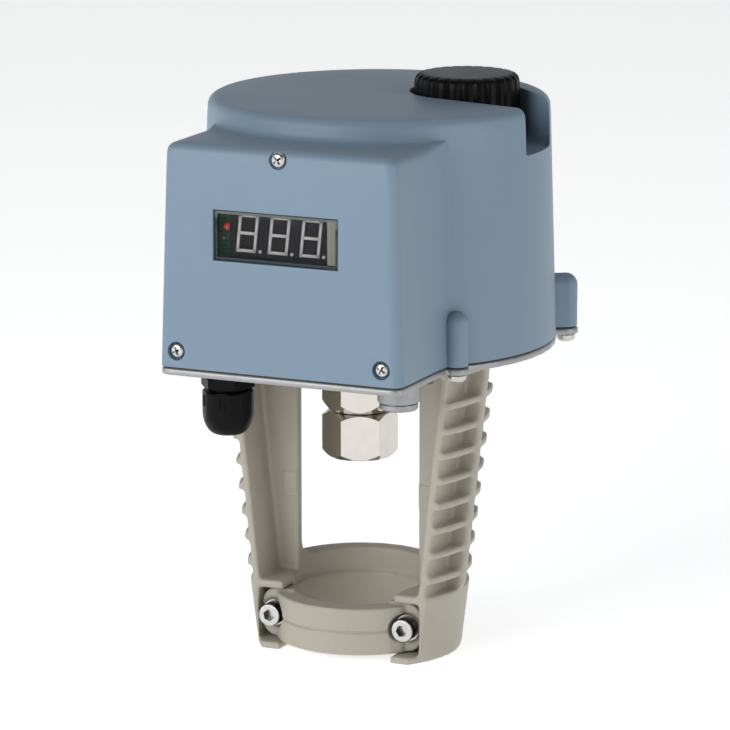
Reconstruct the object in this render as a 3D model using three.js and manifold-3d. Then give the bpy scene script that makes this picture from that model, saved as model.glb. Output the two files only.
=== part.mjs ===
// Electric linear valve actuator: moulded cover over a die-cast base plate, with a ribbed yoke
// below it that clamps round the neck of a valve. Millimetres, +Z up. Everything is laid out
// from the stem axis at x = 0, y = 0 and the underside of the yoke at z = 0; the outermost
// group then sets the origin at the bottom centre of the whole box.
import * as THREE from "three";
import { mergeVertices } from "three/addons/utils/BufferGeometryUtils.js";
import Module from "manifold-3d";

const wasm = await Module();
wasm.setup();

// ---- driving dimensions -------------------------------------------------------------------

const GAP = 0.3;                  // between pieces that touch
const RUNNING_GAP = 0.35;         // between a shaft and its bore
const FAR = 60;                   // past the yoke on every side, for boxes that only cut

// heights
const YOKE_HEIGHT = 110.4;        // underside of the yoke to the top of its flange
const PLATE_THICKNESS = 2.6;      // base plate rim
const GASKET_THICKNESS = 0.5;
const GASKET_CLEARANCE = 0.1;     // above and below the gasket
const GASKET_INSET = 0.4;
const COVER_HEIGHT = 88.1;        // round part of the cover
const BOX_DROP = 7.7;             // top of the front box below the top of the round part

// housing plan
const BODY_RADIUS = 65;           // round part at its lower edge
const BODY_CENTRE_Y = 16.9;
const BOX_HALF_WIDTH = 47;        // front box at its lower edge
const FRONT_Y = -70.2;            // front face at its lower edge
const BOX_CORNER = 4;
const BOX_FILLET = 3;             // where the box runs into the round part
const BOX_FLARE = 0.8;            // the rear end of each side of the box leans out
const BOX_FLARE_LENGTH = 11;
const COVER_WALL = 2.8;
const SIDE_DRAFT = 2.7;           // loss of radius from bottom to top
const FRONT_DRAFT = 0.9;
const TOP_EDGE = 3.6;             // rounding of both top edges

// cover screw bosses
const BOSS_RADIUS = 4.3;
const BOSS_HEIGHT = 19.6;
const BOSS_FRONT = { standOut: 0.56, angle: -41.1 };    // past the round part, degrees from +X
const BOSS_REAR = { standOut: 4.865, angle: 33.44 };
const BOSS_NECK = 6;              // how far the neck of a boss runs into the round part
const EAR_EXTRA = 0.4;            // ear of the base plate past the boss
const COVER_SCREW_HEAD = 3.6;
const PAN_HEIGHT = 2.6;           // heads of the cover and yoke screws
const COVER_SCREW_SHANK = 1.5;
const COVER_SCREW_LENGTH = 16;

// hand knob and its recess
const KNOB_RADIUS = 19.3;
const KNOB_RISE = 6.8;            // top of the knob above the cover
const KNOB_LIFT = 1.6;            // knob above the floor of its recess
const KNOB_EDGE = 2.4;
const KNOB_SHAFT_RADIUS = 4;
const KNOB_CAP = 6;               // solid top of the knob over its shaft
const FLUTE_DEPTH = 0.9;
const KNOB_FLUTES = 24;
const KNOB_ANGLE = 54.1;          // degrees from +X, seen from above
const RECESS_GAP = 1.7;           // between knob and recess wall
const RECESS_DEPTH = 17.1;
const RECESS_WALL = 2.2;
const NOTCH_REACH = 5;            // the notch runs this far past the cover
const NOTCH_FRONT_Y = 5.2;        // its two walls, there
const NOTCH_REAR_Y = 22.8;
const NOTCH_FROM = { front: -105, rear: 45 };    // degrees round the recess where they start
const SEAL_WALL = 1.1;

// window, display and front screws
const WINDOW_WIDTH = 48.4;
const WINDOW_HEIGHT = 18.3;
const WINDOW_X = -1;
const WINDOW_DROP = 31.55;        // middle of the window below the top of the box
const WINDOW_GLASS = 1.4;
const WINDOW_SET_BACK = 0.3;
const MODULE_WIDTH = 37.8;
const MODULE_HEIGHT = 19;
const MODULE_DEPTH = 7.6;
const MODULE_X = -1.5;
const BOARD_THICKNESS = 1.6;
const LED_RADIUS = 1.5;
const LED_RISE = 2.3;             // above the middle of the window
const LED_SPACE = 0.3;            // beside the module
const DISPLAY_BOARD_X = [-34, 31];
const DISPLAY_BOARD_HALF_HEIGHT = 13;
const FRONT_SCREW_DROP = 3.3;     // upper front screw below the top of the box
const FRONT_SCREW_LIFT = 5.9;     // lower front screws above the foot of the cover
const FRONT_SCREW_X = 39.7;
const FRONT_SCREW_HEAD = 2.8;
const FRONT_SCREW_HEIGHT = 2;
const FRONT_SCREW_SHANK = 1.35;
const FRONT_SCREW_LENGTH = 9;
const FRONT_SCREW_PIT = 1.5;      // depth of the pit round its head
const CROSS_WIDTH = 0.8;
const CROSS_REACH = 1.7;
const CROSS_DEPTH = 1;
const CARRIER_HALF_WIDTH = 42.6;
const CARRIER_THICKNESS = 2;
const CARRIER_SHOULDER = 37;      // half width of its sloping top
const CARRIER_SHOULDER_DROP = 10; // where that slope starts, below the upper screw
const CARRIER_NECK = 4.4;         // half width at the upper screw
const CARRIER_OPENING = { low: 34, high: 30, drop: 18 };    // half widths, and below the upper screw
const CARRIER_RAIL = 5;           // height of its lower rail above the screws
const CARRIER_RIM = 3.6;          // below the screws
const POST_RADIUS = 2.9;

// boards behind the front, lifts counted from the top of the base plate
const CONTROL_BOARD = { halfWidth: 38, front: -48, lift: 8.7, height: 60 };
const TRANSFORMER = { x: [-24, 6], depth: 16.7, lift: 34.7, height: 28 };
const CAPACITOR = { radius: 6, length: 14.7, x: 20, lift: 50.7 };
const TERMINALS = { ways: 10, pitch: 6, depth: 5.9, lift: 9.7, height: 10 };
const WIRE_HOLE = { width: 3.2, back: 2, front: 5, depth: 5 };

// yoke
const COLUMN_INNER_X = 24;
const WEB_THICKNESS = 3.5;
const WALL_THICKNESS = 2.6;
const WALL_X_TOP = 40;
const WALL_X_BOTTOM = 32.4;
const COLUMN_HALF_DEPTH = 19.8;
const RIB_COUNT = 8;
const RIB_THICKNESS = 2.6;
const RIB_FIRST_Z = 31.2;
const RIB_LAST_DROP = 13.68;      // last rib below the top of the flange
const RIB_RADIUS_TOP = 49.2;
const RIB_RADIUS_BOTTOM = 41.4;
const SPINE_EXTRA = 1;            // the spine stands past the ribs
const FLANGE_THICKNESS = 2.8;
const FLANGE_RADIUS = 50.5;
const FLANGE_HALF_DEPTH = 22;
const FLANGE_HOLE_RADIUS = 20;
const COLUMN_FOOT = 12;           // height at which the columns start inside the cheeks
const COLUMN_PAD = { width: 5.2, rise: 0.6, height: 8.7, drop: 48.1 };    // raised pad on each web
const CHEEK_HEIGHT = 25;
const BACK_WALL_HEIGHT = 30;
const FOOT_FRONT_Y = -23;         // lips under the clamp lugs

// clamp: what goes round the bore is counted from its radius
const NECK_RADIUS = 23;           // bore for the valve neck
const CHEEK_RADIUS_TOP = NECK_RADIUS + 17.4;
const CHEEK_RADIUS_BOTTOM = NECK_RADIUS + 14.4;
const CHEEK_INNER_X = NECK_RADIUS - 0.8;      // inner end of the cheeks in front of the bore
const NECK_RELIEF = 1.2;          // wider bore above the clamping height
const CLAMP_OUTER_RADIUS = NECK_RADIUS + 8;
const CLAMP_BOTTOM = 3;
const CLAMP_TOP = 20.5;
const CLAMP_GROOVE = 0.8;
const LUG_OUTER_X = NECK_RADIUS + 8.8;
const LUG_INNER_X = NECK_RADIUS - 4;
const LUG_BOTTOM = 3.3;
const LUG_TOP = 21.6;
const LUG_ROUNDING = 5.6;         // outer corners of each lug
const CLAMP_SCREW_X = NECK_RADIUS + 3.6;
const CLAMP_SCREW_Z = 12.4;
const LUG_FRONT_Y = -16.8;
const LUG_BACK_Y = -9.3;
const CLAMP_HEAD_RADIUS = 4.25;
const CLAMP_HEAD_LENGTH = 5;
const CLAMP_HEX = 4;              // across flats of the socket
const CLAMP_HEX_DEPTH = 2.6;
const CLAMP_SHANK_RADIUS = 2.4;
const CLAMP_SCREW_LENGTH = 16;
const CLAMP_THREAD_DEPTH = 11;    // of the tapped hole in the yoke
const SPOTFACE_RADIUS = 5.5;
const SPOTFACE_DEPTH = 1;
const WASHER_THICKNESS = 1;
const WASHER_EXTRA = 0.7;         // past the screw head

// yoke screws, entries
const YOKE_SCREW_X = 31;
const YOKE_SCREW_Y = 12;
const YOKE_SCREW_RADIUS = 3.5;
const YOKE_SCREW_SHANK = 2;
const YOKE_SCREW_PAD = 1.4;       // pad past the head
const YOKE_PAD_HEIGHT = 2.4;      // pad under the flange
const YOKE_BOSS_HEIGHT = 4;       // boss on the base plate
const ENTRY_X = 33.6;
const ENTRY_Y = -41;
const STEM_GUIDE = { radius: 16.5, height: 3.4 };    // raised ring under the base plate
const GLAND_BOSS = { radius: 9.6, height: 4.6 };
const PLUG_BOSS = { radius: 7.7, height: 8.6 };
const GLAND_FLANGE = 4.2;
const GLAND_ACROSS_FLATS = 17.4;
const GLAND_TURN = 10;            // degrees
const GLAND_CAP_GAP = 1;          // between flange and cap
const GLAND_CAP_LENGTH = 16.2;
const GLAND_CAP_RADIUS = 9.3;
const GLAND_BORE = 3.4;
const GLAND_SOCKET = 6.6;         // clamping cage inside the cap
const SEAL_INNER_RADIUS = 1.75;
const LOCKNUT_ACROSS_FLATS = 17;
const LOCKNUT_HEIGHT = 3.7;
const ENTRY_THREAD_RADIUS = 6;
const PLUG_HEAD_INSET = 0.8;
const PLUG_HEAD_HEIGHT = 2.2;
const PLUG_SLOT = { half: 5, width: 1.4, depth: 1 };

// stem and coupling
const STEM_RADIUS = 6;
const STEM_EDGE = 0.8;
const NUT_ACROSS_FLATS = 24;
const NUT_DROP = 39.4;            // lower face of the nut below the top of the yoke
const NUT_HEIGHT = 17;
const NUT_BORE_RADIUS = 6.6;
const NUT_TURN = 24.3;            // degrees, one flat square to the front right
const LOCK_NUT_GAP = 0.5;
const LOCK_NUT_HEIGHT = 11.3;
const COUPLING_NECK_RADIUS = 9;
const COUPLING_NECK_HEIGHT = 4;
const STEM_SEAT = 6;              // stem end below the top of the union nut
const HEX_CHAMFER = 2.2;
const LOCK_NUT_CHAMFER = 3.2;     // deeper on its lower rim
const ARM_RADIUS = 10;
const ARM_THICKNESS = 3;
const ARM_HALF_WIDTH = 4;
const ARM_REACH = 20.5;
const CLIP_RADIUS = 9;
const CLIP_THICKNESS = 1.2;

// gear train
const MODULE_COARSE = 1.25;
const MODULE_FINE = 1;
const DRIVE_TEETH = 48;
const KNOB_TEETH = 24;
const PINION_TEETH = 12;
const WHEEL_TEETH = 37;
const MOTOR_TEETH = 11;
const ADDENDUM = 0.8;             // stub teeth, in modules
const DEDENDUM = 1.05;
const BACKLASH = 0.2;             // thinning of each tooth, in modules
const WHEEL_ANGLE = 140;          // degrees, place of the intermediate shaft
const MOTOR_ANGLE = 75;           // degrees, motor as seen from the intermediate shaft
const DRIVE_GEAR_LIFT = 6.7;      // above the base plate
const DRIVE_GEAR_FACE = 7;
const WHEEL_FACE = 5;
const WHEEL_CLEARANCE = 2;        // between the drive gear and the wheel above it
const TOOTH_OVERLAP = 0.5;        // pinions stand past the wheels they drive
const HUB_RADIUS = 11;
const GEAR_PLATE_CLEARANCE = 10;  // above the drive gear
const GEAR_PLATE_THICKNESS = 2;
const GEAR_PLATE_RADIUS = BODY_RADIUS - 12;
const GEAR_PLATE_FRONT = -22;
const PILLARS = [[40.5, -15], [-40.5, -15], [3, 62]];
const PILLAR_RADIUS = 3.5;
const PILLAR_PIN = { radius: 1.5, length: 2.4 };
const LOWER_BEARING_RADIUS = 13;
const UPPER_BEARING_RADIUS = 15.5;
const BEARING_STEP = 1;           // lower bearing and hub past the base plate
const WHEEL_SHAFT_RADIUS = 2;
const WHEEL_HUB = { radius: 5, lift: 2 };
const KNOB_HUB = { radius: 7, drop: 3 };
const MOTOR_RADIUS = 18;
const MOTOR_HEIGHT = 36;
const MOTOR_NECK = { radius: 6, length: 3 };
const MOTOR_SHAFT_RADIUS = 2.5;
const MOTOR_PLATE_HOLE = 7;

// switches, lifts counted from the gear plate
const STEM_RISE = 35;             // top of the stem
const ARM_RISE = 23;              // underside of the trip arm
const GUIDE_ROD = { radius: 1.5, y: -17.2, rise: 41 };
const BRACKET = { x: [8, 24], foot: [-21.5, -10], thickness: 1.4, rise: 35 };
const SWITCH = { x: [7.4, 20], y: [-19.7, -13.5], height: 10 };
const SWITCH_BUTTON = { x: [5.2, 8], y: [-18, -15], lift: 4, height: 2 };
const SWITCH_LIFTS = { lower: 2.4, upper: 21.4 };

// ---- heights and places that follow ---------------------------------------------------------

const PLATE_BOTTOM = YOKE_HEIGHT + GAP;
const PLATE_TOP = PLATE_BOTTOM + PLATE_THICKNESS;
const COVER_BOTTOM = PLATE_TOP + GASKET_THICKNESS;
const COVER_TOP = COVER_BOTTOM + COVER_HEIGHT;
const BOX_TOP = COVER_TOP - BOX_DROP;
const RECESS_FLOOR = COVER_TOP - RECESS_DEPTH;
const KNOB_TOP = COVER_TOP + KNOB_RISE;
const WINDOW_Z = BOX_TOP - WINDOW_DROP;
const FRONT_SCREWS = [
  [0, BOX_TOP - FRONT_SCREW_DROP],
  [-FRONT_SCREW_X, COVER_BOTTOM + FRONT_SCREW_LIFT],
  [FRONT_SCREW_X, COVER_BOTTOM + FRONT_SCREW_LIFT],
];
const RIB_PITCH = (YOKE_HEIGHT - RIB_FIRST_Z - RIB_LAST_DROP) / (RIB_COUNT - 1);
const NUT_BOTTOM = YOKE_HEIGHT - NUT_DROP;
const DRIVE_GEAR_Z = PLATE_TOP + DRIVE_GEAR_LIFT;
const DRIVE_GEAR_TOP = DRIVE_GEAR_Z + DRIVE_GEAR_FACE;
const GEAR_PLATE_Z = DRIVE_GEAR_TOP + GEAR_PLATE_CLEARANCE;
const GEAR_PLATE_TOP = GEAR_PLATE_Z + GEAR_PLATE_THICKNESS;
const STEM_TOP = GEAR_PLATE_Z + STEM_RISE;
const rad = THREE.MathUtils.degToRad;
const deg = THREE.MathUtils.radToDeg;
const polar = (radius, degrees) => [radius * Math.cos(rad(degrees)), radius * Math.sin(rad(degrees))];
const knobDistance = (DRIVE_TEETH + KNOB_TEETH) * MODULE_COARSE / 2;
const [KNOB_X, KNOB_Y] = polar(knobDistance, KNOB_ANGLE);
const [WHEEL_X, WHEEL_Y] = polar((DRIVE_TEETH + PINION_TEETH) * MODULE_COARSE / 2, WHEEL_ANGLE);
const motorOffset = polar((WHEEL_TEETH + MOTOR_TEETH) * MODULE_FINE / 2, MOTOR_ANGLE);
const MOTOR_X = WHEEL_X + motorOffset[0];
const MOTOR_Y = WHEEL_Y + motorOffset[1];
const WHEEL_Z = DRIVE_GEAR_TOP + WHEEL_CLEARANCE;
const FRONT_INSIDE = FRONT_Y + FRONT_DRAFT + COVER_WALL;
const FRONT_SCREW_SEAT = FRONT_Y + FRONT_DRAFT + FRONT_SCREW_PIT;

// ---- materials --------------------------------------------------------------------------------

const material = (color, roughness, metalness = 0) =>
  new THREE.MeshStandardMaterial({ color, roughness, metalness });
const housingBlue = material(0x8a9bac, 0.45);
const yokeBeige = material(0xbdb8a6, 0.55);
const castAluminium = material(0xa9a9ad, 0.45, 0.8);
const blackPlastic = material(0x0c0c0d, 0.4);
const blackRubber = material(0x161616, 0.85);
const nickel = material(0xd8d2cc, 0.2, 1);
const stainless = material(0xc2c0be, 0.3, 1);
const zincSteel = material(0xb9bcc0, 0.4, 1);
const brass = material(0xb8954a, 0.35, 1);
const gearNylon = material(0xe8e4d8, 0.55);
const boardGreen = material(0x1f7a4c, 0.5);
const clearLens = material(0xdfe8ea, 0.08);
const ledRed = material(0xc02020, 0.3);
const terminalGreen = material(0x3f9a58, 0.5);
const transformerYellow = material(0xc9b24a, 0.6);

// ---- solids -----------------------------------------------------------------------------------

// A closed geometry becomes a solid: equal corners are merged, slivers of no area are dropped,
// and faces that all point inwards are turned round.
function solid(geometry) {
  const bare = geometry.clone();
  for (const name of Object.keys(bare.attributes)) {
    if (name !== "position") bare.deleteAttribute(name);
  }
  const merged = mergeVertices(bare, 1e-4);
  const at = merged.attributes.position;
  const corner = (i) => new THREE.Vector3().fromBufferAttribute(at, i);
  const triangles = [];
  let volume = 0;
  for (let i = 0; i < merged.index.count; i += 3) {
    const [a, b, c] = [0, 1, 2].map((k) => merged.index.getX(i + k));
    if (a === b || b === c || a === c) continue;
    triangles.push([a, b, c]);
    volume += corner(a).dot(corner(b).cross(corner(c)));
  }
  const turned = volume < 0 ? triangles.map(([a, b, c]) => [a, c, b]) : triangles;
  return new wasm.Manifold(new wasm.Mesh({
    numProp: 3,
    vertProperties: Float32Array.from(at.array),
    triVerts: Uint32Array.from(turned.flat()),
  }));
}

function geometryOf(body) {
  const mesh = body.getMesh();
  const geometry = new THREE.BufferGeometry();
  geometry.setAttribute("position", new THREE.BufferAttribute(mesh.vertProperties, 3));
  geometry.setIndex(new THREE.BufferAttribute(mesh.triVerts, 1));
  geometry.computeVertexNormals();
  return geometry;
}

const join = (...bodies) => bodies.reduce((sum, body) => sum.add(body));
const cut = (body, ...tools) => tools.reduce((rest, tool) => rest.subtract(tool), body);
const common = (first, second) => first.intersect(second);

function box([x0, x1], [y0, y1], [z0, z1]) {
  const shape = new THREE.BoxGeometry(x1 - x0, y1 - y0, z1 - z0);
  return solid(shape.translate((x0 + x1) / 2, (y0 + y1) / 2, (z0 + z1) / 2));
}

// Upright round bar, or a cone when the two radii differ.
function rod(radius, [z0, z1], [x, y] = [0, 0], sides = 16, topRadius = radius) {
  const shape = new THREE.CylinderGeometry(topRadius, radius, z1 - z0, sides).rotateX(Math.PI / 2);
  return solid(shape.translate(x, y, (z0 + z1) / 2));
}

// Round bar along Y.
function rodY(radius, [y0, y1], [x, z] = [0, 0], sides = 12) {
  return solid(new THREE.CylinderGeometry(radius, radius, y1 - y0, sides).translate(x, (y0 + y1) / 2, z));
}

const tube = (outer, inner, span, at = [0, 0], sides = 20) =>
  cut(rod(outer, span, at, sides), rod(inner, [span[0] - 1, span[1] + 1], at, sides));

// Outline in plan, extruded upwards.
function prism(points, [z0, z1]) {
  const shape = new THREE.Shape(points.map(([x, y]) => new THREE.Vector2(x, y)));
  const geometry = new THREE.ExtrudeGeometry(shape, { depth: z1 - z0, bevelEnabled: false });
  return solid(geometry.translate(0, 0, z0));
}

// Outline in the X-Z plane, extruded along Y.
function prismY(points, [y0, y1]) {
  const shape = new THREE.Shape(points.map(([x, z]) => new THREE.Vector2(x, z)));
  const geometry = new THREE.ExtrudeGeometry(shape, { depth: y1 - y0, bevelEnabled: false });
  return solid(geometry.rotateX(Math.PI / 2).translate(0, y1, 0));
}

// Profile of [radius, height] pairs turned about Z.
function turned(profile, sides = 20) {
  const points = profile.map(([r, z]) => new THREE.Vector2(r, z));
  return solid(new THREE.LatheGeometry(points, sides).rotateX(Math.PI / 2));
}

function arc([x, y], radius, fromDegrees, toDegrees, steps) {
  return Array.from({ length: steps + 1 }, (_, i) => {
    const [dx, dy] = polar(radius, THREE.MathUtils.lerp(fromDegrees, toDegrees, i / steps));
    return [x + dx, y + dy];
  });
}

const mirrored = (body) => body.scale([-1, 1, 1]);
const bothSides = (body) => join(body, mirrored(body));

function hexagon(acrossFlats, turnDegrees) {
  return Array.from({ length: 6 }, (_, i) =>
    polar(acrossFlats / 2 / Math.cos(Math.PI / 6), turnDegrees - 90 + 30 + 60 * i));
}

// A nut blank: hexagon with both rims turned to a cone.
function hexBlank(acrossFlats, [z0, z1], turnDegrees, chamferBelow, chamferAbove = chamferBelow) {
  const corner = acrossFlats / 2 / Math.cos(Math.PI / 6);
  const land = acrossFlats / 2 - 0.4;
  const cone = turned([[0, z0], [land, z0], [corner + 0.1, z0 + chamferBelow],
    [corner + 0.1, z1 - chamferAbove], [land, z1], [0, z1]], 24);
  return common(prism(hexagon(acrossFlats, turnDegrees), [z0, z1]), cone);
}

// ---- gears ------------------------------------------------------------------------------------

// Twenty-degree involute teeth; a tooth is centred on startDegrees.
function gearOutline(teeth, size, startDegrees) {
  const pitchRadius = teeth * size / 2;
  const baseRadius = pitchRadius * Math.cos(rad(20));
  const tip = pitchRadius + ADDENDUM * size;
  const root = pitchRadius - DEDENDUM * size;
  const involute = (r) => {
    const angle = Math.acos(Math.min(1, baseRadius / r));
    return Math.tan(angle) - angle;
  };
  const halfAtPitch = (Math.PI / 2 - BACKLASH) / teeth;
  const halfAt = (r) => halfAtPitch + involute(pitchRadius) - involute(Math.max(r, baseRadius));
  const flank = [root, tip];
  const points = [];
  for (let i = 0; i < teeth; i += 1) {
    const centre = rad(startDegrees) + 2 * Math.PI * i / teeth;
    const place = (r, offset) => points.push([r * Math.cos(centre + offset), r * Math.sin(centre + offset)]);
    flank.forEach((r) => place(r, -halfAt(r)));
    [...flank].reverse().forEach((r) => place(r, halfAt(r)));
  }
  return points;
}

// ---- the model as a tree ------------------------------------------------------------------------

const actuator = new THREE.Group();
actuator.position.y = -(BODY_CENTRE_Y + BODY_RADIUS + FRONT_Y) / 2;

function group(parent = actuator, [x, y, z] = [0, 0, 0]) {
  const made = new THREE.Group();
  made.position.set(x, y, z);
  parent.add(made);
  return made;
}

function place(name, body, finish, parent, [x, y, z] = [0, 0, 0]) {
  const mesh = new THREE.Mesh(geometryOf(body), finish);
  mesh.name = name;
  mesh.position.set(x, y, z);
  parent.add(mesh);
}

// ---- housing outlines -----------------------------------------------------------------------------

// Front box in plan: rounded front corners, and a hollow fillet where each side runs into the
// round part. It closes inside the round part. The draft narrows the sides more than the front.
function boxOutline(inset, sideDraft, frontDraft) {
  const half = BOX_HALF_WIDTH - inset - sideDraft;
  const front = FRONT_Y + inset + frontDraft;
  const round = BODY_RADIUS - inset - sideDraft;
  const corner = Math.max(BOX_CORNER - inset, 1);
  const fillet = BOX_FILLET + inset;
  const filletX = half + BOX_FLARE + fillet;
  const filletY = BODY_CENTRE_Y - Math.sqrt((round + fillet) ** 2 - filletX ** 2);
  const sweep = deg(Math.atan2(BODY_CENTRE_Y - filletY, filletX));
  const right = [
    ...arc([half - corner, front + corner], corner, -90, 0, 3),
    [half, filletY - BOX_FLARE_LENGTH],
    ...arc([filletX, filletY], fillet, 180, 180 - sweep, 2),
    [half - 6, BODY_CENTRE_Y - 8],
  ];
  return [...right, ...right.map(([x, y]) => [-x, y]).reverse()];
}

const roundOutline = (inset, sideDraft) =>
  arc([0, BODY_CENTRE_Y], BODY_RADIUS - inset - sideDraft, 0, 360, 44).slice(0, -1);

// Skin between stacked outlines of equal length, closed by a cap at each end.
function loft(layers) {
  const count = layers[0].points.length;
  const positions = layers.flatMap(({ points, z }) => points.flatMap(([x, y]) => [x, y, z]));
  const faces = [];
  for (let k = 0; k < layers.length - 1; k += 1) {
    for (let i = 0; i < count; i += 1) {
      const a = k * count + i;
      const b = k * count + (i + 1) % count;
      faces.push([a, b, b + count], [a, b + count, a + count]);
    }
  }
  const cap = (points) =>
    THREE.ShapeUtils.triangulateShape(points.map(([x, y]) => new THREE.Vector2(x, y)), []);
  const last = (layers.length - 1) * count;
  cap(layers[0].points).forEach(([a, b, c]) => faces.push([a, c, b]));
  cap(layers.at(-1).points).forEach(([a, b, c]) => faces.push([last + a, last + b, last + c]));
  const geometry = new THREE.BufferGeometry();
  geometry.setAttribute("position", new THREE.BufferAttribute(new Float32Array(positions), 3));
  geometry.setIndex(faces.flat());
  return solid(geometry);
}

// Drafted block on one of the outlines, with a rounded top edge.
function draftedBlock(outline, inset, bottom, top, edge) {
  const share = (z) => (z - COVER_BOTTOM) / COVER_HEIGHT;
  const layer = (z, extra) => ({
    z,
    points: outline(inset + extra, SIDE_DRAFT * share(z), FRONT_DRAFT * share(z)),
  });
  const rounding = Array.from({ length: edge ? 2 : 0 }, (_, k) => {
    const turn = (k + 1) * Math.PI / 4;
    return layer(top - edge + edge * Math.sin(turn), edge * (1 - Math.cos(turn)));
  });
  return loft([layer(bottom, 0), layer(top - edge, 0), ...rounding]);
}

const outerBody = (bottom) => join(
  draftedBlock(roundOutline, 0, bottom, COVER_TOP, TOP_EDGE),
  draftedBlock(boxOutline, 0, bottom, BOX_TOP, TOP_EDGE),
);
const innerBody = (bottom) => join(
  draftedBlock(roundOutline, COVER_WALL, bottom, COVER_TOP - COVER_WALL, 0),
  draftedBlock(boxOutline, COVER_WALL, bottom, BOX_TOP - COVER_WALL, 0),
);

// Flat sheet on the housing's footprint, from z0 to z1, drawn in by the inset.
const footprint = (inset, span) => join(
  prism(roundOutline(inset, 0), span),
  prism(boxOutline(inset, 0, 0), span),
);

const bossPlaces = [BOSS_FRONT, BOSS_REAR].flatMap(({ standOut, angle }) => {
  const [x, y] = polar(BODY_RADIUS + standOut, angle);
  return [[x, BODY_CENTRE_Y + y], [-x, BODY_CENTRE_Y + y]];
});

// Boss or ear: a round pad and the neck that ties it to the round part.
function bossPad(radius, span) {
  return join(...bossPlaces.map(([x, y]) => {
    const towards = Math.atan2(BODY_CENTRE_Y - y, -x);
    const reach = Math.hypot(x, y - BODY_CENTRE_Y) - BODY_RADIUS + BOSS_NECK;
    const side = [radius * -Math.sin(towards), radius * Math.cos(towards)];
    const far = [x + reach * Math.cos(towards), y + reach * Math.sin(towards)];
    const neck = prism([
      [x - side[0], y - side[1]], [far[0] - side[0], far[1] - side[1]],
      [far[0] + side[0], far[1] + side[1]], [x + side[0], y + side[1]],
    ], span);
    return join(rod(radius, span, [x, y], 12), neck);
  }));
}

// Recess round the knob, open to the right of the cover.
function knobRecess(grow, [z0, z1]) {
  const radius = KNOB_RADIUS + RECESS_GAP + grow;
  const well = rod(radius, [z0, z1], [KNOB_X, KNOB_Y], 32);
  const [fx, fy] = polar(radius, NOTCH_FROM.front);
  const [rx, ry] = polar(radius, NOTCH_FROM.rear);
  const outside = BODY_RADIUS + NOTCH_REACH;
  const notch = prism([
    [KNOB_X + fx, KNOB_Y + fy], [outside, NOTCH_FRONT_Y - grow],
    [outside, NOTCH_REAR_Y + grow], [KNOB_X + rx, KNOB_Y + ry], [KNOB_X, KNOB_Y],
  ], [z0, z1]);
  return join(well, notch);
}

// ---- housing ------------------------------------------------------------------------------------

function makeCover(parent) {
  const outside = outerBody(COVER_BOTTOM);
  const shell = cut(outside, innerBody(COVER_BOTTOM - 1));
  const recessShell = common(outside,
    knobRecess(RECESS_WALL, [RECESS_FLOOR - RECESS_WALL, COVER_TOP + 1]));
  const bossTop = COVER_BOTTOM + BOSS_HEIGHT - BOSS_RADIUS;
  const bosses = bossPad(BOSS_RADIUS, [COVER_BOTTOM, bossTop]);
  const domes = join(...bossPlaces.map(([x, y]) =>
    solid(new THREE.SphereGeometry(BOSS_RADIUS, 12, 6).rotateX(Math.PI / 2).translate(x, y, bossTop))));
  const solids = join(shell, recessShell, bosses, domes);
  const pilotHoles = bossPlaces.map((at) =>
    rod(COVER_SCREW_SHANK + GAP, [COVER_BOTTOM - 1, PLATE_BOTTOM + COVER_SCREW_LENGTH + GAP], at, 8));
  const frontHoles = FRONT_SCREWS.flatMap(([x, z]) => [
    rodY(FRONT_SCREW_HEAD + 2 * GAP, [FRONT_Y - 1, FRONT_SCREW_SEAT], [x, z], 12),
    rodY(FRONT_SCREW_SHANK + GAP, [FRONT_Y, FRONT_INSIDE + 12], [x, z], 8),
  ]);
  const window = box([WINDOW_X - WINDOW_WIDTH / 2, WINDOW_X + WINDOW_WIDTH / 2],
    [FRONT_Y - 1, FRONT_INSIDE + 1], [WINDOW_Z - WINDOW_HEIGHT / 2, WINDOW_Z + WINDOW_HEIGHT / 2]);
  const recess = knobRecess(0, [RECESS_FLOOR, COVER_TOP + 2]);
  const shaftHole = rod(KNOB_SHAFT_RADIUS + SEAL_WALL + GAP, [RECESS_FLOOR - 5, RECESS_FLOOR + 1],
    [KNOB_X, KNOB_Y]);
  const cover = cut(solids, ...pilotHoles, ...frontHoles, window, recess, shaftHole);
  place("top_cover", cover, housingBlue, parent);
}

function makeGasket(parent) {
  const span = [PLATE_TOP + GASKET_CLEARANCE, COVER_BOTTOM - GASKET_CLEARANCE];
  const past = [span[0] - 1, span[1] + 1];
  const screwHoles = bossPlaces.map((at) => rod(COVER_SCREW_SHANK + GAP, past, at, 8));
  const rim = cut(footprint(GASKET_INSET, span), footprint(COVER_WALL, past));
  const ring = cut(join(rim, bossPad(BOSS_RADIUS - 1.5 * GASKET_INSET, span)), ...screwHoles);
  place("cover_gasket", ring, blackRubber, parent);
}

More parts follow.
